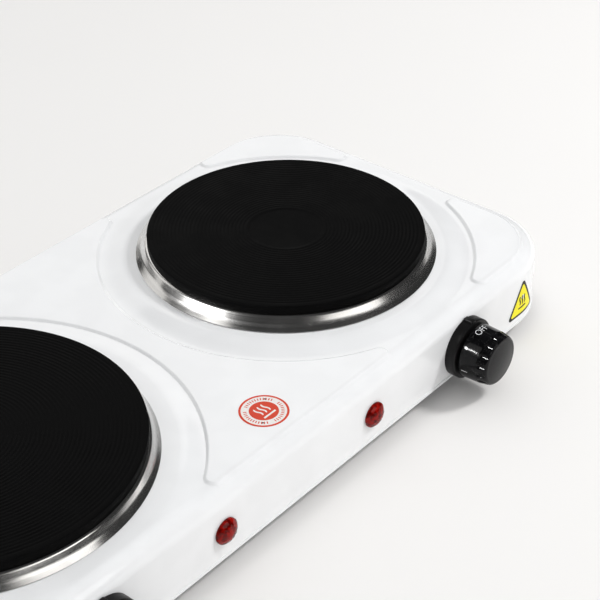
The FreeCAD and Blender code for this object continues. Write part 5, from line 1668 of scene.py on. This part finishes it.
def outline_sheet(name, outline, low, high, material, holes=()):
    """A thin sheet cut to an outline in (x, y), with its sides closed."""
    loops = [list(outline)] + [list(hole) for hole in holes]
    points, rings = [], []
    for loop in loops:
        rings.append(list(range(len(points), len(points) + len(loop))))
        points += loop
    edges = [(a, b) for ring in rings for a, b in zip(ring, ring[1:] + ring[:1])]
    found = delaunay_2d_cdt([Vector(p) for p in points], edges, [], 1, 1e-9)
    flat, faces = found[0], []
    for face in found[2]:
        middle = sum((flat[v] for v in face), Vector((0.0, 0.0))) / len(face)
        if within(middle, outline) and not any(within(middle, hole) for hole in holes):
            faces.append(face)
    boundary = dict.fromkeys((a, b) for face in faces
                             for a, b in zip(face, face[1:] + face[:1]))
    count = len(flat)
    shell = [tuple(face) for face in faces]
    shell += [tuple(v + count for v in reversed(face)) for face in faces]
    shell += [(b, a, a + count, b + count) for a, b in boundary if (b, a) not in boundary]
    both = [(p.x, p.y, high) for p in flat] + [(p.x, p.y, low) for p in flat]
    obj = new_object(name, both, [], shell)
    face_outwards(obj.data)
    obj.data.materials.append(material)
    return obj


def circle(x, y, radius, count=96):
    return [(x + radius * math.cos(math.tau * i / count),
             y + radius * math.sin(math.tau * i / count)) for i in range(count)]


def wave(x, low, high, width, swing, steps=14):
    """Outline of an upright wavy bar with round ends."""
    line = [(x + swing * math.sin(math.tau * i / steps), low + (high - low) * i / steps)
            for i in range(steps + 1)]
    left, right = [], []
    for i, (a, b) in enumerate(line):
        before, after = line[max(i - 1, 0)], line[min(i + 1, steps)]
        run = math.dist(before, after)
        across = ((after[1] - before[1]) / run, (before[0] - after[0]) / run)
        taper = width / 2 * math.sqrt(max(0.15, 1 - (2 * i / steps - 1) ** 8))
        left.append((a - across[0] * taper, b - across[1] * taper))
        right.append((a + across[0] * taper, b + across[1] * taper))
    return right + left[::-1]


def heat_sign(x, y, tall):
    """Three wavy bars above a straight one, as outlines."""
    wide = tall * 0.30
    marks = [wave(x + shift * wide, y - tall * 0.22, y + tall * 0.5, tall * 0.105, tall * 0.055)
             for shift in (-1, 0, 1)]
    half, low, high = wide * 1.55, y - tall * 0.5, y - tall * 0.38
    marks.append([(x - half, low), (x + half, low), (x + half, high), (x - half, high)])
    return marks


def build_sticker():
    given = settings("label")
    low, high = STICKER_BOX
    x, y = centre(STICKER_BOX).x, centre(STICKER_BOX).y
    radius = (high.x - low.x) / 2
    band_r, disc_r = radius - given.ring_width, given.disc_radius
    step = (high.z - low.z) / 6
    layers = [
        outline_sheet("rim", circle(x, y, radius), low.z, low.z + 3 * step, finish("badge"),
                      [circle(x, y, band_r)]),
        outline_sheet("band", circle(x, y, band_r), low.z, low.z + 2.6 * step,
                      finish("badge_white"), [circle(x, y, disc_r)]),
        outline_sheet("disc", circle(x, y, disc_r), low.z, low.z + 3 * step, finish("badge")),
    ]
    top = low.z + 3.5 * step
    for index, mark in enumerate(heat_sign(x, y, 1.2 * disc_r)):
        layers.append(outline_sheet("sign%d" % index, mark, low.z + 2 * step, top,
                                    finish("badge_white")))
    middle_r = (band_r + disc_r) / 2
    for turn in (38.0, 218.0):
        spot = (x + middle_r * math.cos(math.radians(turn)),
                y + middle_r * math.sin(math.radians(turn)))
        layers.append(outline_sheet("dot%d" % turn, circle(*spot, 0.55 * MM, 16),
                                    low.z + 2 * step, top, finish("ink")))
    length, width = (band_r - disc_r) * 0.42, 0.55 * MM
    tick = outline_sheet("ticks", [(-length / 2, -width / 2), (length / 2, -width / 2),
                                   (length / 2, width / 2), (-length / 2, width / 2)],
                         low.z + 2 * step, top, finish("badge"))
    grow(tick, ring_of_tree(), Count=given.tick_count, Radius=middle_r, Centre=(x, y, 0.0),
         Material=finish("badge"), **{"Gap Every": given.tick_count // 3})
    layers.append(baked(tick, "ticks"))
    sticker = join("round_badge", layers)
    place_piece(sticker, "housing", "sticker_film", "round_sticker")


def rounded_triangle(x, y, half, tall, corner, steps=6):
    """Outline of a triangle with its base at the bottom and rounded corners."""
    corners = [(x - half, y), (x + half, y), (x, y + tall)]
    line = []
    for i in range(3):
        here = Vector(corners[i])
        to_next = (Vector(corners[(i + 1) % 3]) - here).normalized()
        to_last = (Vector(corners[i - 1]) - here).normalized()
        half_angle = to_next.angle(to_last) / 2
        hub = here + (to_next + to_last).normalized() * corner / math.sin(half_angle)
        start = here + to_last * corner / math.tan(half_angle) - hub
        end = here + to_next * corner / math.tan(half_angle) - hub
        for k in range(steps + 1):
            arm = start.lerp(end, k / steps).normalized() * corner
            line.append(tuple(hub + arm))
    return line


def wrapped(obj, corner_x, corner_r):
    """Lays a sheet drawn in (x, height) round the front right corner of the wall.

    The sheet's own z is its distance in front of the wall."""
    for vertex in obj.data.vertices:
        across, up, lift = vertex.co
        radius = corner_r + lift
        past = max(0.0, across - corner_x)
        back = radius - math.sqrt(radius * radius - past * past)
        vertex.co = Vector((across, FRONT_Y - lift + back, up))
    return obj


def sliced(outline, cuts):
    """Splits the long sides of an outline at given places along x."""
    made = []
    for a, b in zip(outline, outline[1:] + outline[:1]):
        made.append(a)
        inside = [c for c in cuts if min(a[0], b[0]) + 1e-5 < c < max(a[0], b[0]) - 1e-5]
        for cut in sorted(inside, reverse=a[0] > b[0]):
            share = (cut - a[0]) / (b[0] - a[0])
            made.append((cut, a[1] + (b[1] - a[1]) * share))
    return made


def build_foil():
    given = settings("label")
    low, high = LABEL_BOX
    corner_r = settings("housing").corner_radius
    corner_x = HOUSING_HIGH.x - settings("housing").hem_lip - corner_r
    x, half = centre(LABEL_BOX).x, (high.x - low.x) / 2
    corner = given.corner
    reach = half + corner * (1 / math.tan(math.radians(30)) - 1)
    tall = reach * math.sqrt(3)
    cuts = np.arange(low.x, high.x, 1.0 * MM)
    gap, skin = 0.05 * MM, 0.2 * MM
    inset = given.border
    layers = [("edge", rounded_triangle(x, low.z, reach, tall, corner), gap, gap + 0.7 * skin,
               finish("ink"))]
    inner = reach - inset * math.sqrt(3)
    layers.append(("field", rounded_triangle(x, low.z + inset, inner, inner * math.sqrt(3),
                                             corner * 0.7), gap + 0.3 * skin, gap + 0.85 * skin,
                   finish("foil")))
    sign = heat_sign(x, low.z + tall * 0.36, tall * 0.34)
    layers += [("glyph%d" % i, mark, gap + 0.5 * skin, gap + skin, finish("ink"))
               for i, mark in enumerate(sign)]
    sheets = [wrapped(outline_sheet(name, sliced(line, cuts), start, end, material), corner_x,
                      corner_r)
              for name, line, start, end, material in layers]
    foil = join("corner_foil", sheets)
    face_outwards(foil.data)
    place_piece(foil, "housing", "warning_foil", "hot_surface_label")


# ---------------------------------------------------------------- inner works

def coat_inner_works():
    """Gives every carried-over node its finish through its material slots."""
    replaced = {name for name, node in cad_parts.items() if node.hide_render}
    for name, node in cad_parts.items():
        if name in replaced:
            continue
        found = [key for key, starts in INNER_NODES.items()
                 if any(name == start or name.startswith(start + "_") for start in starts)]
        if not found:
            raise RuntimeError("no finish for the node " + name)
        for place in node.material_slots:
            place.material = finish(found[0])


# ---------------------------------------------------------------- stage

def aimed(name, kind, place, target, **values):
    """A light at a place, pointed at a target."""
    data = bpy.data.lights.new(name, kind)
    for key, value in values.items():
        setattr(data, key, value)
    lamp = bpy.data.objects.new(name, data)
    lamp.location = place
    lamp.rotation_euler = (Vector(target) - Vector(place)).to_track_quat("-Z", "Y").to_euler()
    bpy.context.scene.collection.objects.link(lamp)
    return lamp


# Lights in metres. A card is a name, start and end of turn, low and high, and its strength.
KEY_PLACE = (1.11, -0.95, 1.42)
LAMP_PLACE = (-1.0, 0.53, 0.76)
CARDS = [
    ("back_card", 10.0, 63.0, 6.0, 44.0, 0.95),
    ("far_left_card", 336.0, 359.0, 8.0, 46.0, 0.75),
    ("left_card", 287.0, 308.0, 14.0, 58.0, 1.1),
    ("front_card", 152.0, 198.0, 17.0, 38.0, 1.5),
]


def light_card(name, start, end, low, high, strength):
    """A bright patch of a large sphere that shows in reflections only.

    start and end are turned clockwise from the back, low and high are above the horizon."""
    radius = settings("stage").card_radius
    steps = 8
    points, faces = [], []
    for i in range(steps + 1):
        turn = math.radians(start + (end - start) * i / steps)
        for k in range(steps + 1):
            rise = math.radians(low + (high - low) * k / steps)
            points.append((radius * math.sin(turn) * math.cos(rise),
                           radius * math.cos(turn) * math.cos(rise), radius * math.sin(rise)))
    for i in range(steps):
        for k in range(steps):
            first = i * (steps + 1) + k
            faces.append((first, first + 1, first + steps + 2, first + steps + 1))
    card = new_object(name, points, [], faces)
    glow = bpy.data.materials.new(name)
    glow.use_nodes = True
    shader = glow.node_tree.nodes["Principled BSDF"].inputs
    shader["Base Color"].default_value = (0.0, 0.0, 0.0, 1.0)
    shader["Emission Color"].default_value = (1.0, 0.99, 0.97, 1.0)
    shader["Emission Strength"].default_value = strength
    card.data.materials.append(glow)
    card.visible_camera = False
    card.visible_diffuse = False
    card.visible_shadow = False
    card.visible_transmission = False
    return card


def build_stage():
    given = settings("stage")
    half = given.floor_size / 2
    floor = new_object("studio_floor", [(-half, -half, 0), (half, -half, 0), (half, half, 0),
                                        (-half, half, 0)], [], [(0, 1, 2, 3)])
    floor.data.materials.append(finish("floor"))
    world = bpy.data.worlds.new("studio_sky")
    world.use_nodes = True
    sky = world.node_tree.nodes["Background"].inputs
    sky["Color"].default_value = (0.985, 0.992, 1.0, 1.0)
    rays = add(world.node_tree, "ShaderNodeLightPath")
    feed(world.node_tree, sky["Strength"],
         maths(world.node_tree, "MULTIPLY_ADD", rays.outputs["Is Glossy Ray"],
               given.sheen - given.sky, given.sky))
    bpy.context.scene.world = world
    for card in CARDS:
        light_card(*card)
    key = aimed("right_softbox", "AREA", KEY_PLACE, (0.1, -0.1, 0.0), energy=given.key,
                shape="RECTANGLE", size=0.3, size_y=0.3)
    side = aimed("left_lamp", "AREA", LAMP_PLACE, (0.135, -0.11, 0.03), energy=given.side,
                 shape="DISK", size=0.2)
    key.visible_glossy = False
    side.visible_diffuse = False
    data = bpy.data.cameras.new("studio_camera")
    data.lens = given.lens
    data.sensor_width = 36.0
    data.clip_start = 0.01
    data.clip_end = 50.0
    camera = bpy.data.objects.new("studio_camera", data)
    camera.location = given.place
    forward = Vector((math.sin(given.heading) * math.cos(given.pitch),
                      math.cos(given.heading) * math.cos(given.pitch), -math.sin(given.pitch)))
    aim = forward.to_track_quat("-Z", "Y").to_matrix() @ Matrix.Rotation(given.roll, 3, "Z")
    camera.rotation_euler = aim.to_euler()
    scene = bpy.context.scene
    scene.collection.objects.link(camera)
    scene.camera = camera
    scene.view_settings.view_transform = "Standard"
    scene.view_settings.look = "None"
    scene.view_settings.exposure = 0.0
    scene.view_settings.gamma = 1.0


# ---------------------------------------------------------------- operators and panel

class BuildStep:
    """What all build steps share. An error in a step stops the whole build."""
    bl_options = {"REGISTER", "UNDO"}


class HOTPLATE_OT_housing(BuildStep, bpy.types.Operator):
    """Build the pressed and enamelled top housing"""
    bl_idname = "hotplate.housing"
    bl_label = "Housing"

    def execute(self, context):
        build_housing()
        return {"FINISHED"}


class HOTPLATE_OT_plates(BuildStep, bpy.types.Operator):
    """Build both cast-iron plates"""
    bl_idname = "hotplate.plates"
    bl_label = "Plates"

    def execute(self, context):
        build_plates()
        return {"FINISHED"}


class HOTPLATE_OT_rings(BuildStep, bpy.types.Operator):
    """Build both steel spill rings"""
    bl_idname = "hotplate.rings"
    bl_label = "Spill rings"

    def execute(self, context):
        build_rings()
        return {"FINISHED"}


class HOTPLATE_OT_bezels(BuildStep, bpy.types.Operator):
    """Build the fixed bezels behind the dials"""
    bl_idname = "hotplate.bezels"
    bl_label = "Bezels"

    def execute(self, context):
        build_bezels()
        return {"FINISHED"}


class HOTPLATE_OT_knobs(BuildStep, bpy.types.Operator):
    """Build both fluted dials"""
    bl_idname = "hotplate.knobs"
    bl_label = "Dials"

    def execute(self, context):
        build_knobs()
        return {"FINISHED"}


class HOTPLATE_OT_marks(BuildStep, bpy.types.Operator):
    """Print the marks on both dials"""
    bl_idname = "hotplate.marks"
    bl_label = "Dial marks"

    def execute(self, context):
        build_marks()
        return {"FINISHED"}


class HOTPLATE_OT_lenses(BuildStep, bpy.types.Operator):
    """Build both red lamp lenses"""
    bl_idname = "hotplate.lenses"
    bl_label = "Lamp lenses"

    def execute(self, context):
        build_lenses()
        return {"FINISHED"}


class HOTPLATE_OT_gland(BuildStep, bpy.types.Operator):
    """Build the bush in the back wall"""
    bl_idname = "hotplate.gland"
    bl_label = "Lead bush"

    def execute(self, context):
        build_gland()
        return {"FINISHED"}


class HOTPLATE_OT_feet(BuildStep, bpy.types.Operator):
    """Build the four rubber feet"""
    bl_idname = "hotplate.feet"
    bl_label = "Feet"

    def execute(self, context):
        build_feet()
        return {"FINISHED"}


class HOTPLATE_OT_screws(BuildStep, bpy.types.Operator):
    """Build the screws through the feet"""
    bl_idname = "hotplate.screws"
    bl_label = "Screws"

    def execute(self, context):
        build_screws()
        return {"FINISHED"}


class HOTPLATE_OT_sticker(BuildStep, bpy.types.Operator):
    """Build the round sticker on the deck"""
    bl_idname = "hotplate.sticker"
    bl_label = "Sticker"

    def execute(self, context):
        build_sticker()
        return {"FINISHED"}


class HOTPLATE_OT_foil(BuildStep, bpy.types.Operator):
    """Build the triangular foil on the corner"""
    bl_idname = "hotplate.foil"
    bl_label = "Corner foil"

    def execute(self, context):
        build_foil()
        return {"FINISHED"}


class HOTPLATE_OT_inner_works(BuildStep, bpy.types.Operator):
    """Give the inner pieces their finishes"""
    bl_idname = "hotplate.inner_works"
    bl_label = "Inner works"

    def execute(self, context):
        coat_inner_works()
        return {"FINISHED"}


class HOTPLATE_OT_stage(BuildStep, bpy.types.Operator):
    """Build floor, lights and camera"""
    bl_idname = "hotplate.stage"
    bl_label = "Stage"

    def execute(self, context):
        build_stage()
        return {"FINISHED"}


OPERATORS = [
    HOTPLATE_OT_housing, HOTPLATE_OT_plates, HOTPLATE_OT_rings, HOTPLATE_OT_bezels,
    HOTPLATE_OT_knobs, HOTPLATE_OT_marks, HOTPLATE_OT_lenses, HOTPLATE_OT_gland,
    HOTPLATE_OT_feet, HOTPLATE_OT_screws, HOTPLATE_OT_sticker, HOTPLATE_OT_foil,
    HOTPLATE_OT_inner_works, HOTPLATE_OT_stage,
]


class HOTPLATE_PT_build(bpy.types.Panel):
    """Lists every size and every build step."""
    bl_label = "Hot Plate"
    bl_space_type = "VIEW_3D"
    bl_region_type = "UI"
    bl_category = "Hot Plate"

    def draw(self, context):
        for made in OPERATORS:
            self.layout.operator(made.bl_idname)
        for group, kind in GROUPS.items():
            sizes = self.layout.box()
            sizes.label(text=kind.__doc__)
            for name in kind.__annotations__:
                sizes.prop(getattr(context.scene, "hotplate_" + group), name)


def register():
    for group, kind in GROUPS.items():
        bpy.utils.register_class(kind)
        setattr(bpy.types.Scene, "hotplate_" + group, PointerProperty(type=kind))
    for made in OPERATORS + [HOTPLATE_PT_build]:
        bpy.utils.register_class(made)


def unregister():
    for made in reversed(OPERATORS + [HOTPLATE_PT_build]):
        bpy.utils.unregister_class(made)
    for group, kind in reversed(list(GROUPS.items())):
        delattr(bpy.types.Scene, "hotplate_" + group)
        bpy.utils.unregister_class(kind)


def main():
    register()
    for made in OPERATORS:
        step = getattr(bpy.ops.hotplate, made.bl_idname.split(".")[1])
        if "FINISHED" not in step():
            raise RuntimeError("the step %s did not finish" % made.bl_label)


if __name__ == "__main__":
    main()
